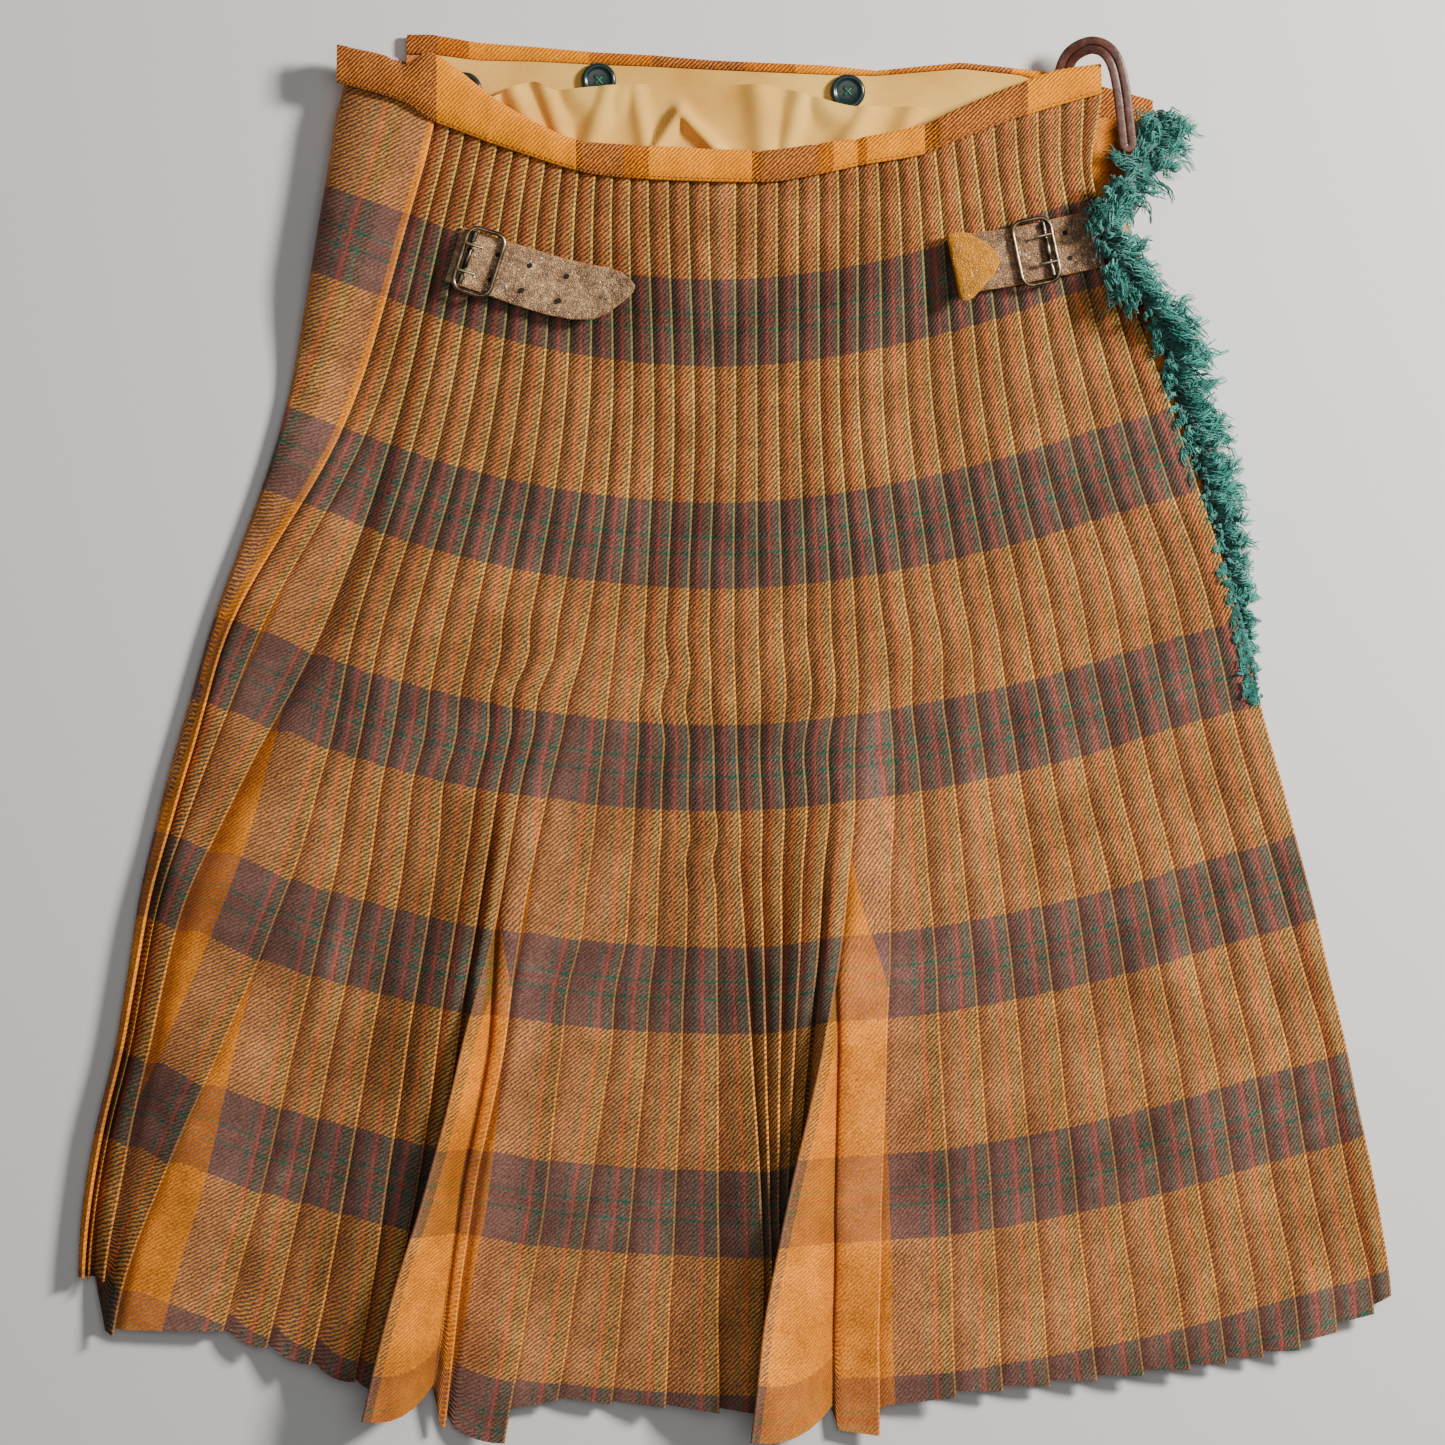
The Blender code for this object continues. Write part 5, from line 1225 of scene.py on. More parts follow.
for button_name, button_centre in BUTTONS.items():
    label = button_name.replace("button", "brace_button")
    button = loft_piece(label, turned_rings(button_centre, BUTTON_PROFILE, BUTTON_LOW_Z,
                                            BUTTON_SIDES), horn, sharp=50.0)
    small = []
    holes = [(button_centre[0] + HOLE_OUT * a, button_centre[1] + HOLE_OUT * b)
             for a, b in ((1, 1), (-1, 1), (-1, -1), (1, -1))]
    for number, hole in enumerate(holes):
        rings = turned_rings(hole, HOLE_PROFILE, BUTTON_LOW_Z, HOLE_SIDES)
        small.append(loft_piece("%s_hole_%d" % (label, number), rings, hole_black))
    for start in (0, 1):
        a = holes[start]
        b = holes[start + 2]
        z = BUTTON_LOW_Z + THREAD_Z
        path = [(blend(a[0], b[0], share), blend(a[1], b[1], share), z + rise)
                for share, rise in ((0.0, -0.3), (0.2, 0.25), (0.5, 0.4 + 0.2 * start), (0.8, 0.25),
                                    (1.0, -0.3))]
        small.append(loft_piece("%s_thread_%d" % (label, start), tube_rings(path, THREAD_RADIUS),
                                thread_green))
    join(button, small)
    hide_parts(button_name)


# The back binding: a strip of the same cloth cut across its stripes and folded over the top of the
# pleats, sewn down along its lower edge, with a few soft puckers where the waist dips.
BAND_WALL = 1.0
BAND_STEPS = 220
BAND_TOP_OF_PLEATS = 6.7    # height of the pleats' upper side over the lowest layer
BAND_INNER_FROM = -184.5    # left of this it closes on itself, past the pleats
PUCKERS = (
    # x, half width, depth
    (-72.0, 2.6, 1.1), (-42.0, 2.0, 0.5), (12.0, 2.2, 1.2), (40.0, 2.0, 0.7), (59.0, 2.4, 0.8),
    (96.0, 3.0, 1.0), (-96.0, 2.2, 0.4), (138.0, 2.2, 0.5),
)
# Among its stripes, three narrow blocks of painted shadow sit in its puckers.
back_binding = binding_cloth("back_binding", (
    (-195.0, BROWN), (-143.0, BAND_GOLD), (-76.0, PUCKER_SHADOW_BROWN), (-73.0, BROWN), (-53.0, DEEP_ORANGE),
    (-41.0, BAND_GOLD), (8.0, PUCKER_SHADOW_BROWN), (13.0, BROWN), (40.0, DEEP_ORANGE), (47.0, BAND_GOLD),
    (59.0, DEEP_ORANGE), (64.0, BAND_GOLD), (91.0, PUCKER_SHADOW_BROWN), (99.0, BROWN), (141.0, BAND_GOLD),
    (178.0, BAND_GOLD)))


def back_band_rings():
    """Sections of the binding: over the pleats, round its top and down inside them."""
    rings = []
    stations = sorted([blend(BACK_BAND[0][0], BACK_BAND[-1][0], step / BAND_STEPS)
                       for step in range(BAND_STEPS + 1)] + [row[0] for row in BACK_BAND[1:-1]])
    for x in stations:
        low = band_low(x)
        high = band_high(x)
        base = base_height(x, low)
        pucker = sum(height * math.exp(-((x - place) / width) ** 2)
                     for place, width, height in PUCKERS)
        ripple = 0.3 * noise.noise(Vector((x / 7.0, 4.0, 2.0))) - 0.5 * pucker
        under = base - 1.8
        over = base + BAND_TOP_OF_PLEATS + 1.3
        inside_y = low + BAND_TAKES_IN + 3.8
        inner_low = low if x > BAND_INNER_FROM + 3.0 else inside_y + 0.1
        apex = base + 3.4
        if x < BAND_INNER_FROM:
            under = over - 2.6 * BAND_WALL
            apex = over - 1.6
        high -= 0.9 * pucker
        rings.append([
            (x, low, over - 0.5), (x, low + 0.5, over + 0.05),
            (x, blend(low, high, 0.3), over + 0.5 + ripple),
            (x, blend(low, high, 0.55), over + 0.7 + ripple),
            (x, blend(low, high, 0.8), over + 0.1 + ripple),
            (x, high - 1.0, over - 1.1), (x, high - 0.2, blend(over, apex, 0.6)), (x, high, apex),
            (x, high - 0.5, blend(under, apex, 0.5)), (x, high - 1.6, under + 0.3),
            (x, blend(inner_low, high, 0.5), under), (x, inner_low, under),
            (x, inner_low, under + BAND_WALL), (x, inside_y + 0.1, under + BAND_WALL),
            (x, inside_y, over - BAND_WALL), (x, low, over - BAND_WALL)])
    return rings


waistband_back = loft_piece("back_band", back_band_rings(), back_binding)
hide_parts("waistband_back")


# The row of machine stitches along the binding's lower edge: brown thread that goes through the
# binding and every pleat under it, and holds the waist together.
STITCH_STEP = 2.6
STITCH_LENGTH = 1.7
STITCH_RADIUS = 0.22
STITCH_SINK = 0.6           # a stitch's ends dip by this share of its radius, and its middle rises
STITCH_ARCH = 1.6
STITCH_UP = 1.6             # the row runs this far above the edge


thread_brown = plain("binding_thread", rgb(150, 92, 40), 0.8, noise_scale=2500.0, spread=0.3)
stitches = []
distance = 0.0
while distance + STITCH_LENGTH < BACK_BAND[-1][0] - BACK_BAND[0][0] - 3.0:
    path = []
    for share in (0.0, 0.25, 0.5, 0.75, 1.0):
        x = BACK_BAND[0][0] + 1.0 + (distance + share * STITCH_LENGTH)
        low = band_low(x)
        z = base_height(x, low) + BAND_TOP_OF_PLEATS + 1.55
        arch = STITCH_ARCH * math.sin(math.pi * share) - STITCH_SINK
        path.append((x, low + STITCH_UP, z + STITCH_RADIUS * arch))
    stitches.append(loft_piece("band_stitches_%d" % len(stitches), tube_rings(path, STITCH_RADIUS, 5),
                               thread_brown))
    distance += STITCH_STEP
band_stitches = join(stitches[0], stitches[1:])
band_stitches.name = "band_stitches"


# Two leather straps on the hips: grained brown leather, punched with pairs of holes. The left one
# lies through its buckle with its tip lifting; the right one's tip folds back to show its suede side.
STRAP_THICK = 1.8
STRAP_SINK = 0.75           # it presses this far into the pleats
STRAP_STIFF = 0.7           # and keeps this share of its flatness across them
STRAP_STEP = 1.5
TIP_STEPS = 28
BUCKLE_LEFT = {"centre": (-122.0, 228.5), "turn": -18.0}
BUCKLE_RIGHT = {"centre": (145.5, 233.5), "turn": 12.0}
STRAP_LEFT = (
    # distance along the strap, drop to the side, half width, height above the pleats
    (-13.0, 0.0, 13.7, 0.0), (-6.0, 0.0, 13.7, 0.5), (4.0, 0.0, 13.7, 0.5), (14.0, 0.0, 14.0, 0.3),
    (26.0, 0.0, 14.2, 0.3), (38.0, 0.3, 14.2, 0.6), (50.0, 1.5, 14.0, 1.6), (60.0, 3.6, 13.2, 3.2),
    (66.0, 6.0, 10.6, 5.0), (71.5, 8.6, 6.0, 7.4), (75.0, 10.5, 1.6, 8.8),
)
STRAP_RIGHT = (
    (31.0, 0.0, 13.8, 1.0), (24.0, 0.0, 13.8, 1.0), (13.0, 0.0, 13.8, 0.6), (3.0, 0.0, 13.6, 0.6),
    (-6.0, 0.0, 13.6, 0.6), (-16.0, 0.3, 13.9, 0.3), (-27.0, 1.0, 14.0, 0.4),
    (-37.0, 2.0, 14.0, 1.4),
)
STRAP_TURN = (
    # how far back the turned end lies, its height, its tilt, its upper and lower edge
    (-2.6, 1.0, 1.2, 14.5, -16.0), (-2.8, 2.8, 2.0, 14.8, -17.5), (0.5, 3.9, 2.9, 14.8, -18.5),
    (6.0, 4.2, 3.14, 13.5, -15.5), (11.0, 4.1, 3.14, 9.5, -11.5), (15.0, 3.9, 3.14, 6.0, -8.5),
    (18.5, 3.6, 3.14, 0.5, -4.0),
)
STRAP_ACROSS = (-1.0, -0.97, -0.85, -0.6, -0.3, 0.0, 0.3, 0.6, 0.85, 0.97, 1.0)
EDGE_THICK = {1.0: 0.55, 0.97: 0.9}     # its edges are rounded off to these shares of its thickness


def strap_leather(name, light, dark, suede):
    """Worn grained leather with fine dark cracks and pale flecks that are partly rubbed wear and partly
    painted highlight; its flesh side and cut edges are suede.
    """
    made = Nodes(name, 0.33, specular=0.6)
    bent = made.tree.nodes.new("ShaderNodeVectorMath")
    bent.operation = "ADD"
    made.tree.links.new(made.place(), bent.inputs[0])
    shift = made.math("MULTIPLY", made.math("SUBTRACT", made.noise(260.0, 4.0), 0.5), 0.006)
    made.tree.links.new(shift, bent.inputs[1])
    grain = made.tree.nodes.new("ShaderNodeTexVoronoi")
    grain.feature = "DISTANCE_TO_EDGE"
    grain.inputs["Scale"].default_value = 760.0
    made.tree.links.new(bent.outputs[0], grain.inputs["Vector"])
    pebble = made.math("MINIMUM", made.math("MULTIPLY", grain.outputs["Distance"], 4.0), 1.0)
    mottled = made.ramp(made.noise(120.0, 7.0, roughness=0.8), [(0.32, dark), (0.62, light)])
    skin = made.toned(mottled, pebble, (0.0, 0.42, 0.36, 0.31), (0.45, 1.04, 1.03, 1.02))
    # pale flecks: partly rubbed wear, partly painted highlight standing in for glossy glints
    skin = made.toned(skin, made.noise(330.0, 5.0, roughness=0.7), (0.46, 0.80, 0.78, 0.76),
                      (0.62, 1.55, 1.46, 1.34))
    flesh = made.ramp(made.noise(160.0, 4.0), [(0.3, tuple(0.55 * v for v in suede[:3]) + (1.0,)),
                                              (0.7, suede)])
    made.colour(made.mix(made.attribute("suede"), skin, flesh))
    fuzz = made.noise(1500.0, 3.0)
    made.bump(made.math("ADD", pebble, made.math("MULTIPLY", fuzz, 0.3)), 0.00034, 0.9)
    return made.material


left_leather = strap_leather("strap_leather_left", rgb(208, 170, 126), rgb(100, 66, 42),
                             rgb(206, 112, 22))
right_leather = strap_leather("strap_leather_right", rgb(178, 140, 102), rgb(80, 54, 38),
                              rgb(228, 146, 16))


def pleat_top(x, y):
    """Height of the pleats' upper side, which the straps lie on."""
    return base_height(x, y) + BAND_TOP_OF_PLEATS + 0.3


def buckle_place(buckle, along, across):
    """x and y of a place given along and across a strap from its buckle's middle."""
    turn = math.radians(buckle["turn"])
    x = buckle["centre"][0] + along * math.cos(turn) - across * math.sin(turn)
    y = buckle["centre"][1] + along * math.sin(turn) + across * math.cos(turn)
    return x, y


def strap_middle(buckle, strap, along):
    """Points across the middle of a strap at a distance along it."""
    drift, half, rise = read_columns(strap, along)
    row = []
    for side in STRAP_ACROSS:
        x, y = buckle_place(buckle, along, side * half + drift)
        row.append([x, y, pleat_top(x, y) - STRAP_SINK + STRAP_THICK / 2 + rise])
    level = max(point[2] for point in row)
    return [(x, y, blend(z, level, STRAP_STIFF)) for x, y, z in row]


def strap_ring(row, normal=Vector((0.0, 0.0, 1.0))):
    """A strap's section: thin rounded edges, flat faces."""
    upper = []
    lower = []
    for side, place in zip(STRAP_ACROSS, row):
        half = STRAP_THICK / 2.0 * EDGE_THICK.get(abs(side), 1.0)
        upper.append(tuple(Vector(place) + normal * half))
        lower.append(tuple(Vector(place) - normal * half))
    return upper + lower[::-1]


def strap_rows(buckle, strap):
    """Points across a strap's middle at even steps along it."""
    start = strap[0][0]
    end = strap[-1][0]
    count = round(abs(end - start) / STRAP_STEP)
    return [strap_middle(buckle, strap, blend(start, end, i / count)) for i in range(count + 1)]


def make_strap(name, node, rows, tip, material):
    """A strap through its rows and its turned tip, marked where it shows its suede side."""
    face = len(STRAP_ACROSS)
    rings = [strap_ring(row) for row in rows]
    flesh_side = [0.0] * face + [1.0] * face
    cut_edges = [1.0] + [0.0] * (face - 2) + [1.0] * (face + 1)
    suede = cut_edges * len(rings) + flesh_side * len(tip)
    rings += [strap_ring(row, normal) for row, normal in tip]
    piece = loft_piece(name, rings, material, sharp=70.0)
    mark_points(piece, "suede", suede)
    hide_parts(node)


def turned_tip(last):
    """The right strap's end folded back on itself, cut slightly aslant."""
    turn = math.radians(BUCKLE_RIGHT["turn"])
    along = Vector((math.cos(turn), math.sin(turn), 0.0))
    sideways = Vector((-math.sin(turn), math.cos(turn), 0.0))
    middle = Vector(last[len(last) // 2])
    half = (Vector(last[-1]) - Vector(last[0])).length / 2.0
    knots = [(0.0, 0.0, 0.0, half, -half)] + list(STRAP_TURN)
    made = []
    for number in range(1, TIP_STEPS + 1):
        where = number / TIP_STEPS * (len(knots) - 1)
        advance, rise, tilt, upper, lower = (
            read_smooth([(i, knot[column]) for i, knot in enumerate(knots)], where)
            for column in range(5))
        normal = Vector((math.sin(tilt) * along.x, math.sin(tilt) * along.y, math.cos(tilt)))
        row = [tuple(middle + along * advance + sideways * blend(lower, upper, 0.5 + 0.5 * side)
                     + Vector((0.0, 0.0, rise))) for side in STRAP_ACROSS]
        made.append((row, normal))
    return made


left_rows = strap_rows(BUCKLE_LEFT, STRAP_LEFT)
make_strap("hip_strap_left", "strap_left", left_rows, [], left_leather)
right_rows = strap_rows(BUCKLE_RIGHT, STRAP_RIGHT)
make_strap("hip_strap_right", "strap_right", right_rows, turned_tip(right_rows[-1]), right_leather)


# Punched holes in the straps, in pairs side by side for the two prongs of each buckle. The real holes go
# clean through the leather and look nearly black; each is drawn as a dark disc set into the strap's face,
# painted shade standing in for the hole.
STRAP_HOLES = {
    # buckle, strap and how far along it the pairs are
    "left": (BUCKLE_LEFT, STRAP_LEFT, (7.5, 23.5, 42.0)),
    "right": (BUCKLE_RIGHT, STRAP_RIGHT, (15.5,)),
}
HOLES_ACROSS = (-6.4, 6.0)
PUNCHED_PROFILE = ((1.25, -0.5), (1.25, 0.03), (0.9, 0.06), (0.3, 0.05))
punched = plain("punched_hole", rgb(28, 18, 12), 0.9)
for side_name, (buckle, strap, places) in STRAP_HOLES.items():
    hole_pieces = []
    for along in places:
        drift = read_columns(strap, along)[0]
        top = max(point[2] for point in strap_middle(buckle, strap, along)) + STRAP_THICK / 2
        for across in HOLES_ACROSS:
            centre = buckle_place(buckle, along, across + drift)
            rings = turned_rings(centre, PUNCHED_PROFILE, top, HOLE_SIDES)
            hole_pieces.append(loft_piece("strap_hole_%s_%d" % (side_name, len(hole_pieces)), rings,
                                          punched))
    holes = join(hole_pieces[0], hole_pieces[1:])
    holes.name = "strap_holes_" + side_name


# Two wire buckles: a rounded dark frame, a bar with a loose roller in three sleeves, and two pale
# prongs that turn on it and lie across the strap.
FRAME_LENGTH = 31.0
FRAME_WIDTH = 18.5
FRAME_CORNER = 5.2
FRAME_STIFF = 0.75          # the frame keeps this share of its flatness across the pleats
FRAME_TILT = 0.35           # and its strap side stands this much higher
BUCKLE_RISE = 1.95
WIRE = 1.1
BAR_INSET = 3.4             # the bar lies this far in from the frame's edge, and a little lower
BAR_DROP = 0.4
SLEEVE_GAPS = (5.2, 8.2)    # the roller's middle sleeve ends and its outer ones start this far out
SLEEVE_SHAPE = ((0.0, 0.85), (0.04, 1.3), (0.5, 1.35), (0.96, 1.3), (1.0, 0.85))
PRONG_ACROSS = 6.6
PRONG_SHAPE = (
    # share of the way from the bar to the frame, height over the wire's middle, radius
    (-0.25, 1.3, 0.85), (0.0, 2.0, 0.8), (0.3, 2.25, 0.72), (0.75, 2.3, 0.66), (1.0, 2.3, 0.55),
    (1.08, 2.25, 0.35),
)


def worn_metal(name, dark, light, roughness):
    made = Nodes(name, roughness, metallic=1.0)
    wear = made.ramp(made.noise(170.0, 5.0, roughness=0.7), [(0.38, dark), (0.66, light)])
    made.colour(wear)
    made.bump(made.noise(900.0, 3.0), 0.00004, 0.7)
    return made.material


gunmetal = worn_metal("dark_steel", rgb(92, 78, 62), rgb(176, 158, 130), 0.3)
bright_steel = worn_metal("roller_steel", rgb(64, 58, 52), rgb(128, 118, 104), 0.32)
pale_metal = worn_metal("pale_brass", rgb(190, 170, 128), rgb(232, 220, 190), 0.28)


def wire_piece(name, path, radius, closed, material):
    """Round wire bent along points, closed into a ring or with flat ends."""
    curve = bpy.data.curves.new(name, "CURVE")
    curve.dimensions = "3D"
    curve.bevel_depth = radius * MM
    curve.bevel_resolution = 3
    curve.use_fill_caps = not closed
    spline = curve.splines.new("POLY")
    spline.points.add(len(path) - 1)
    for corner, place in zip(spline.points, path):
        corner.co = (place[0] * MM, place[1] * MM, place[2] * MM, 1.0)
    spline.use_cyclic_u = closed
    spline.use_smooth = True
    piece = bpy.data.objects.new(name, curve)
    bpy.context.scene.collection.objects.link(piece)
    curve.materials.append(material)
    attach(piece, "root")
    return piece


def frame_path(buckle, over_side):
    """The frame's wire on the pleats, with its highest point; over_side is where its strap goes."""
    half_x = FRAME_WIDTH / 2.0
    half_y = FRAME_LENGTH / 2.0
    lift = STRAP_THICK - STRAP_SINK + BUCKLE_RISE
    path = []
    for sign_x, sign_y, start in ((1, 1, 0), (-1, 1, 90), (-1, -1, 180), (1, -1, 270)):
        for step in range(9):
            angle = math.radians(start + 11.25 * step)
            along = sign_x * (half_x - FRAME_CORNER) + FRAME_CORNER * math.cos(angle)
            across = sign_y * (half_y - FRAME_CORNER) + FRAME_CORNER * math.sin(angle)
            x, y = buckle_place(buckle, along, across)
            path.append((x, y, pleat_top(x, y) + lift + FRAME_TILT * over_side * along / half_x))
    level = max(point[2] for point in path)
    return [(x, y, blend(z, level, FRAME_STIFF)) for x, y, z in path], level


for side_name, buckle, over_side in (("left", BUCKLE_LEFT, 1.0), ("right", BUCKLE_RIGHT, -1.0)):
    path, level = frame_path(buckle, over_side)
    buckle_frame = wire_piece("buckle_frame_" + side_name, path, WIRE, True, gunmetal)
    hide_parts("buckle_" + side_name)
    bar_along = -over_side * (FRAME_WIDTH / 2.0 - BAR_INSET)
    reach = FRAME_LENGTH / 2.0 - 2.0 * WIRE - 0.3
    bar_path = [buckle_place(buckle, bar_along, across) + (level - BAR_DROP,)
                for across in (-reach, 0.0, reach)]
    bar = wire_piece("buckle_bar_" + side_name, bar_path, 0.8 * WIRE, False, bright_steel)
    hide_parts("bar_" + side_name)
    sleeves = []
    middle, outer = SLEEVE_GAPS
    for low, high in ((-reach, -outer), (-middle, middle), (outer, reach)):
        sleeve = [buckle_place(buckle, bar_along, blend(low, high, share)) + (level - BAR_DROP,)
                  for share, _ in SLEEVE_SHAPE]
        radii = [radius for _, radius in SLEEVE_SHAPE]
        sleeves.append(loft_piece("roller_%s_%d" % (side_name, len(sleeves)),
                                  tube_rings(sleeve, radii, 16), bright_steel))
    roller = join(sleeves[0], sleeves[1:])
    roller.name = "roller_" + side_name
    for number, across in ((1, -PRONG_ACROSS), (2, PRONG_ACROSS)):
        prong = []
        for share, rise, _ in PRONG_SHAPE:
            along = blend(bar_along + over_side * 3.6, -over_side * FRAME_WIDTH / 2.0, share)
            prong.append(buckle_place(buckle, along, across) + (level + rise - 0.2,))
        radii = [radius for _, _, radius in PRONG_SHAPE]
        piece = loft_piece("prong_piece_%s_%d" % (side_name, number), tube_rings(prong, radii, 12),
                           pale_metal)
        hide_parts("prong_%s_%d" % (side_name, number))


# The hanger loop: one smooth brown thong, doubled side by side and tacked inside the waist, that
# stands up in an arch over the right end of the binding.
LOOP_PATH = (
    # x, y, z of the middle between its two strands
    (160.0, 312.0, 8.6), (159.5, 321.0, 9.2), (163.0, 329.0, 13.0), (171.0, 333.0, 17.5),
    (178.5, 331.0, 20.5), (183.5, 324.0, 21.5), (186.5, 312.0, 20.5), (188.5, 298.0, 18.5),
    (190.0, 286.0, 16.5),
)
LOOP_WIDTH = 4.3
LOOP_THICK = 1.9
LOOP_SPREAD = 2.15          # each strand lies this far from the middle
LOOP_STEPS = 7              # points between two places of its path, round its bend and its section
BEND_STEPS = 12
LOOP_SIDES = 12


def smooth_path(knots, steps):
    """Points on the smooth curve through the knots."""
    points = []
    for index in range(len(knots) - 1):
        a = Vector(knots[max(index - 1, 0)])
        b = Vector(knots[index])
        c = Vector(knots[index + 1])
        d = Vector(knots[min(index + 2, len(knots) - 1)])
        for step in range(steps):
            t = step / steps
            points.append(0.5 * ((2.0 * b) + (c - a) * t + (2.0 * a - 5.0 * b + 4.0 * c - d) * t * t
                                 + (3.0 * b - a - 3.0 * c + d) * t ** 3))
    points.append(Vector(knots[-1]))
    return points


def thong_leather():
    made = Nodes("thong_leather", 0.38, specular=0.6)
    streak = made.noise(210.0, 5.0, roughness=0.7)
    made.colour(made.ramp(streak, [(0.3, rgb(58, 34, 28)), (0.6, rgb(104, 66, 54)),
                                   (0.8, rgb(150, 104, 88))]))
    made.bump(made.noise(700.0, 4.0), 0.0002, 0.8)
    return made.material


def loop_rings():
    """Sections of the thong: out along one side of the path, round its end, and back."""
    middle = smooth_path(LOOP_PATH, LOOP_STEPS)
    out = []
    back = []
    last = len(middle) - 1
    for index, here in enumerate(middle):
        ahead = middle[min(index + 1, last)] - middle[max(index - 1, 0)]
        side = Vector((-ahead.y, ahead.x, 0.0)).normalized()
        out.append(here + side * LOOP_SPREAD)
        back.append(here - side * LOOP_SPREAD)
    ahead = ahead.normalized()
    route = list(out)
    for step in range(1, BEND_STEPS):
        turn = math.pi * step / BEND_STEPS
        route.append(middle[-1] + side * (LOOP_SPREAD * math.cos(turn))
                     + ahead * (LOOP_SPREAD * math.sin(turn)))
    route += reversed(back)
    rings = []
    for index, here in enumerate(route):
        ahead = route[min(index + 1, len(route) - 1)] - route[max(index - 1, 0)]
        flat = Vector((-ahead.y, ahead.x, 0.0)).normalized()
        up = ahead.cross(flat).normalized()
        ring = []
        for step in range(LOOP_SIDES):
            angle = 2.0 * math.pi * step / LOOP_SIDES
            wide = math.copysign(abs(math.cos(angle)) ** 0.6, math.cos(angle))
            tall = math.copysign(abs(math.sin(angle)) ** 0.8, math.sin(angle))
            ring.append(tuple(here + flat * (0.5 * LOOP_WIDTH * wide) + up * (0.5 * LOOP_THICK * tall)))
        rings.append(ring)
    return rings


hanger = loft_piece("hanger_thong", loop_rings(), thong_leather(), sharp=70.0)
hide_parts("hanger_loop")


# The fringe: thick teal wool sewn along the over apron's free edge. A narrow woven strip holds
# hundreds of crimped strands in loose locks that curl out past the hip.
FRINGE_REACH = (
    # y, how far the wool reaches left and right of its strip, how high it stands
    (304.0, 10.0, 13.0, 6.0), (297.0, 14.0, 19.0, 8.0), (287.0, 20.0, 21.0, 8.0), (282.0, 21.0, 6.0, 7.0),
    (276.0, 22.0, 21.0, 8.0), (269.0, 17.0, 18.0, 8.0), (258.0, 11.0, 14.0, 8.0), (246.0, 7.5, 14.0, 8.0),
    (234.0, 7.0, 22.0, 8.0), (226.0, 8.0, 28.0, 9.0), (216.0, 9.0, 20.0, 9.0), (208.0, 8.0, 24.0, 9.0),
    (193.0, 7.0, 28.0, 9.0), (170.0, 6.5, 25.0, 9.0), (150.0, 6.0, 24.0, 9.0), (119.0, 5.5, 20.0, 8.0),
    (90.0, 5.0, 14.5, 7.0), (66.0, 5.0, 10.0, 6.0), (50.0, 5.0, 8.0, 5.0), (34.0, 5.0, 5.0, 4.0),
    (22.0, 4.0, 3.0, 3.0),
)
FRINGE_TOP_Y = 300.0
FRINGE_LOW_Y = 20.0
FRINGE_LOW_Z = 1.45
LOCKS = 500
LOCK_STRANDS = 9
LOCK_SPREAD = 2.9           # a lock's strands spread this far at its root
STRAND_RADIUS = 0.48
STRAND_STEPS = 8
STRAND_SIDES = 3
STRAND_CRIMP = 0.35
OVER_PLEATS = 6.2           # wool that reaches over the back lies this high on it
OVER_STRAP = 9.6            # and this high where the right strap is
STRAP_REACH = (214.0, 252.0)
PILE_SIDES = 14
WOOL_SEED = 11


def fringe_line():
    """Middles of the woven strip, just off the rolled edge of the over apron."""
    line = []
    for y, row in zip(apron_heights, apron_rows):
        x, edge_y, z = row[-1][:3]
        turn = math.pi * read_columns(APRON_ROWS, y)[2]
        reach = 0.6 + 1.5 / max(abs(math.cos(turn)), abs(math.sin(turn)))
        if FRINGE_LOW_Y - 3.0 < edge_y < FRINGE_TOP_Y + 3.0:
            line.append((edge_y, x + reach * math.cos(turn), max(z + reach * math.sin(turn), FRINGE_LOW_Z)))
    return line


def fringe_wool():
    made = Nodes("fringe_wool", 0.8, sheen=0.3, specular=0.25)
    shade = made.attribute("shade")
    along = made.attribute("along")
    base = made.ramp(shade, [(0.0, rgb(12, 76, 70)), (0.45, rgb(30, 114, 104)), (0.8, rgb(66, 146, 134)),
                             (1.0, rgb(126, 184, 172))])
    # painted shade: each strand is painted darker towards its root, where the locks shade each other, and
    # paler towards its tip
    root = made.ramp(along, [(0.0, (0.42, 0.44, 0.44, 1.0)), (0.5, (0.95, 0.95, 0.95, 1.0)),
                             (1.0, (1.25, 1.25, 1.2, 1.0))])
    made.colour(made.mix(1.0, base, root, "MULTIPLY"))
    made.bump(made.noise(3000.0, 2.0), 0.0001, 0.6)
    return made.material


def one_lock(chance, y, line_x, line_z):
    """Curve of a lock from the strip: root, peak, end and the swirl of its crimp."""
    left, right, high = read_columns(FRINGE_REACH, y)
    share = chance.random()
    outward = chance.random() < right / (right + 1.4 * left)
    reach = (right if outward else -left) * blend(0.45, 1.0, share) * chance.uniform(0.85, 1.08)
    rise = high * blend(1.25, 0.7, share) * chance.uniform(0.7, 1.05)
    slope = chance.uniform(-0.9, 0.3) if outward else chance.uniform(-2.6, 0.6)
    root = Vector((read_line(line_x, y) + chance.uniform(-2.6, 1.6), y,
                   read_line(line_z, y) + chance.uniform(0.4, 3.4)))
    end = Vector((reach, slope * abs(reach), rise * chance.uniform(-0.2, 0.5)))
    peak = Vector((0.45 * reach, 0.25 * end.y, rise + 1.0))
    return root, peak, end, chance.uniform(0.0, 6.3), chance.uniform(1.2, 2.5), chance.uniform(1.5, 3.0)


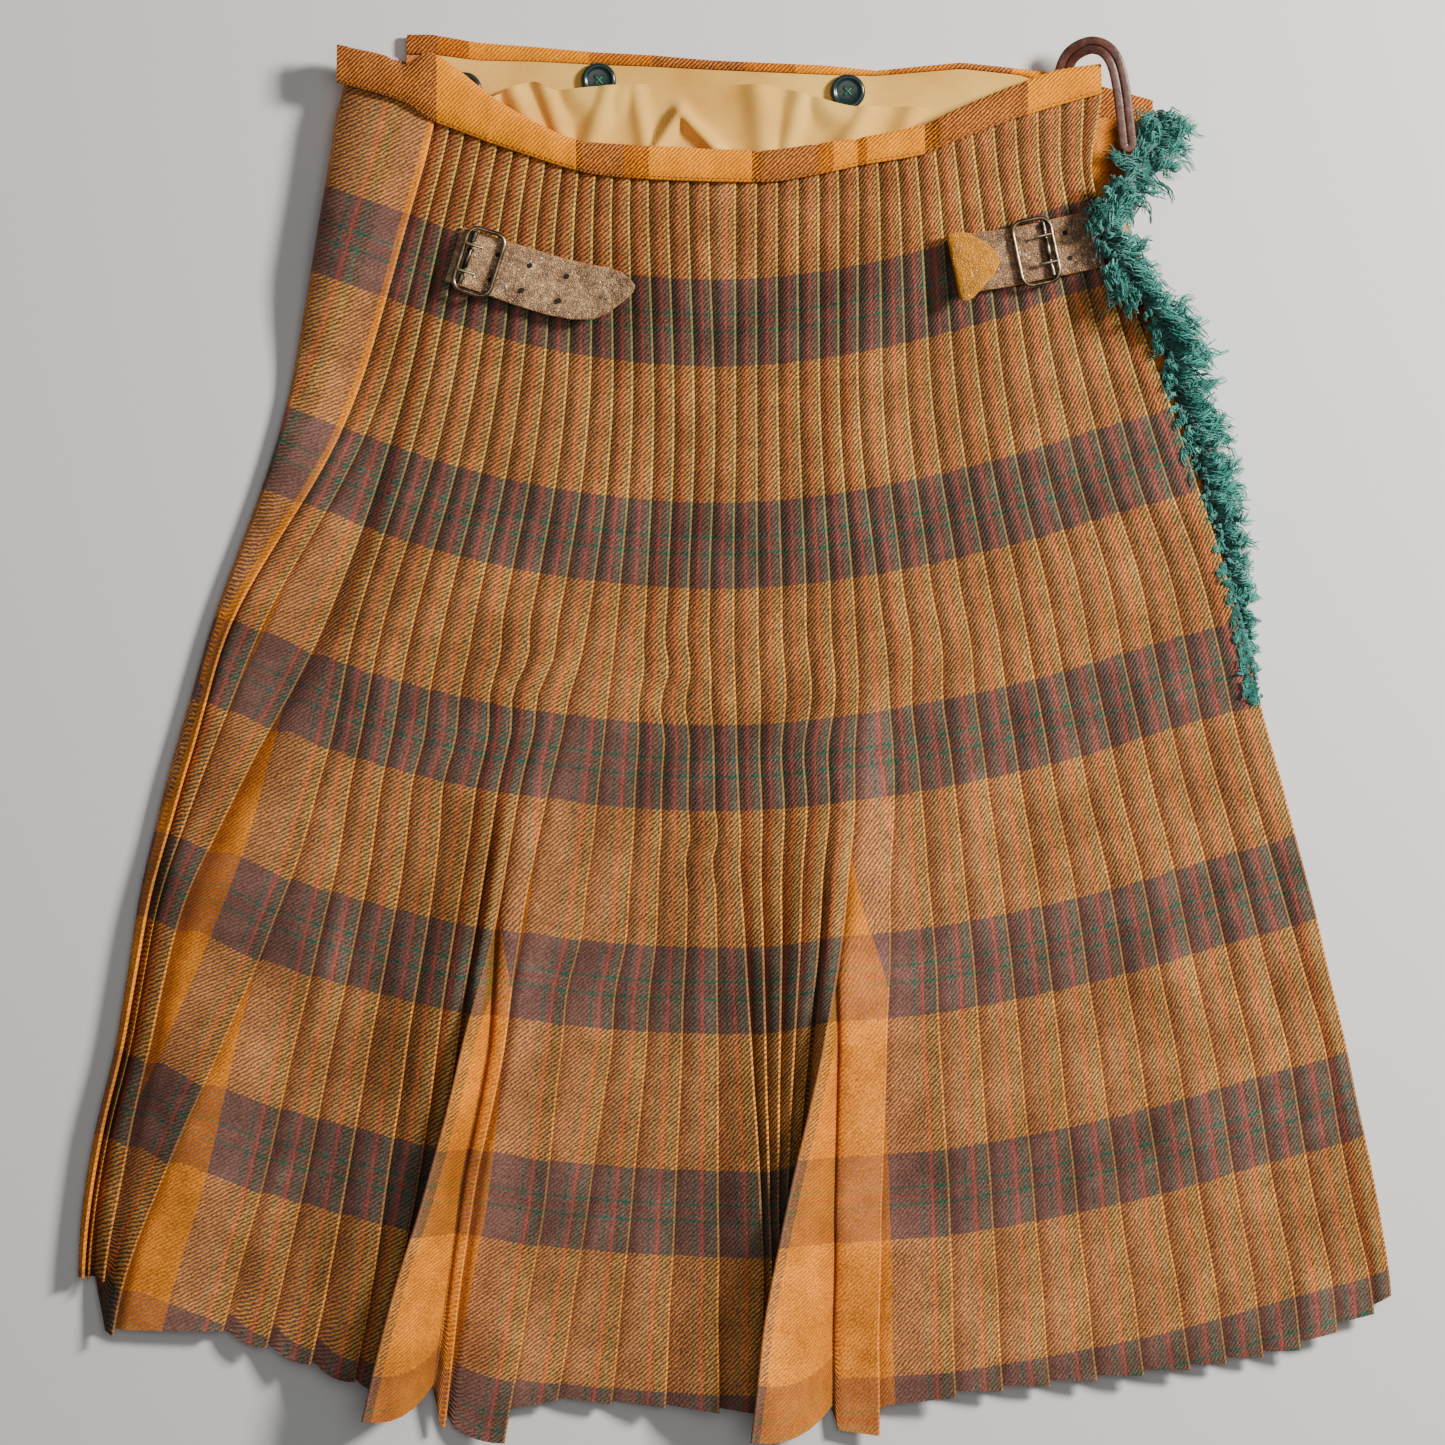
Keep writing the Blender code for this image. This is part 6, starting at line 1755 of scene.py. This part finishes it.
def make_fringe(line, wool):
    """Hundreds of locks from the strip, each a bunch of long tapered strands."""
    chance = random.Random(WOOL_SEED)
    line_x = [(y, x) for y, x, z in line]
    line_z = [(y, z) for y, x, z in line]
    places = []
    faces = []
    shades = []
    for number in range(LOCKS):
        y = blend(FRINGE_TOP_Y, FRINGE_LOW_Y, ((number + chance.random()) / LOCKS) ** 1.3)
        root, peak, end, phase, turns, crimp = one_lock(chance, y, line_x, line_z)
        across = Vector((-end.y, end.x, 0.0)).normalized()
        tone = chance.random()
        crimp *= min(1.0, end.length / 12.0)
        back_edge = fold_x(PLEATS, root.y) + 1.0
        on_strap = STRAP_REACH[0] < root.y < STRAP_REACH[1]
        over_back = base_height(back_edge, root.y) + (OVER_STRAP if on_strap else OVER_PLEATS)
        for strand in range(LOCK_STRANDS):
            turn = chance.uniform(0.0, 6.3)
            off = LOCK_SPREAD * math.sqrt(chance.random()) * min(1.0, end.length / 9.0)
            bunch = across * (off * math.cos(turn)) + Vector((0.0, 0.0, 0.6 * off * math.sin(turn)))
            longer = chance.uniform(0.68, 1.08)
            own = chance.uniform(0.0, 6.3)
            tint = clamp01(0.55 * tone + 0.45 * chance.random())
            path = []
            radii = []
            for step in range(STRAND_STEPS):
                t = step / (STRAND_STEPS - 1)
                u = t * longer
                place = root + peak * (2.0 * u * (1.0 - u)) + end * (u * u)
                place += bunch * (1.0 - 0.45 * t)
                angle = phase + turns * 2.0 * math.pi * t
                place += across * (crimp * t * math.sin(angle) + STRAND_CRIMP * math.sin(own + 9.0 * t))
                place.z += crimp * t * math.cos(angle) + STRAND_CRIMP * math.cos(own + 9.0 * t)
                bed = blend(over_back, 0.8, smoothstep(back_edge, back_edge + 4.0, place.x))
                place.z = max(place.z, bed)
                path.append(place)
                radii.append(STRAND_RADIUS * (1.0 - 0.5 * t))
            first = len(places)
            for ring in tube_rings(path, radii, STRAND_SIDES):
                places += ring
            for start in range(first, first + 3 * (STRAND_STEPS - 1), 3):
                for i in range(3):
                    k = (i + 1) % 3
                    faces.append((start + i, start + k, start + 3 + k, start + 3 + i))
            faces.append((first + 2, first + 1, first))
            last = first + 3 * (STRAND_STEPS - 1)
            faces.append((last, last + 1, last + 2))
            shades += [tint] * (3 * STRAND_STEPS)
    along = [step / (STRAND_STEPS - 1) for step in range(STRAND_STEPS) for _ in range(STRAND_SIDES)]
    piece = mesh_piece("wool_fringe", places, faces, wool)
    mark_points(piece, "shade", shades)
    mark_points(piece, "along", along * (LOCKS * LOCK_STRANDS))
    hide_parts("fringe")


def make_wool_pile(line, wool):
    """The short, matted wool close to the strip, under the longer locks."""
    rings = []
    for y, x, z in line:
        left, right, high = read_columns(FRINGE_REACH, y)
        centre_x = x + 0.5 * (0.3 * right - 0.3 * left)
        half = 0.5 * (0.3 * right + 0.3 * left) + 0.8
        tall = 0.22 * high + 0.4
        ring = []
        for step in range(PILE_SIDES):
            angle = 2.0 * math.pi * step / PILE_SIDES
            rough = 1.0 + 0.22 * noise.noise(Vector((0.4 * y, 2.0 * math.cos(angle), 2.0 * math.sin(angle))))
            ring.append((centre_x + half * rough * math.cos(angle), y + 0.4 * half * math.sin(angle),
                         max(0.3, z + 0.3 * tall + tall * rough * math.sin(angle))))
        rings.append(ring)
    piece = loft_piece("wool_pile", rings, wool, sharp=80.0)
    # painted shade: the pile takes a dark tone and the root's painted shade, as it lies under the locks
    for label, level in (("shade", 0.2), ("along", 0.25)):
        mark_points(piece, label, [level] * len(piece.data.vertices))


teal_wool = fringe_wool()
strip = fringe_line()
make_fringe(strip, teal_wool)
make_wool_pile(strip, teal_wool)
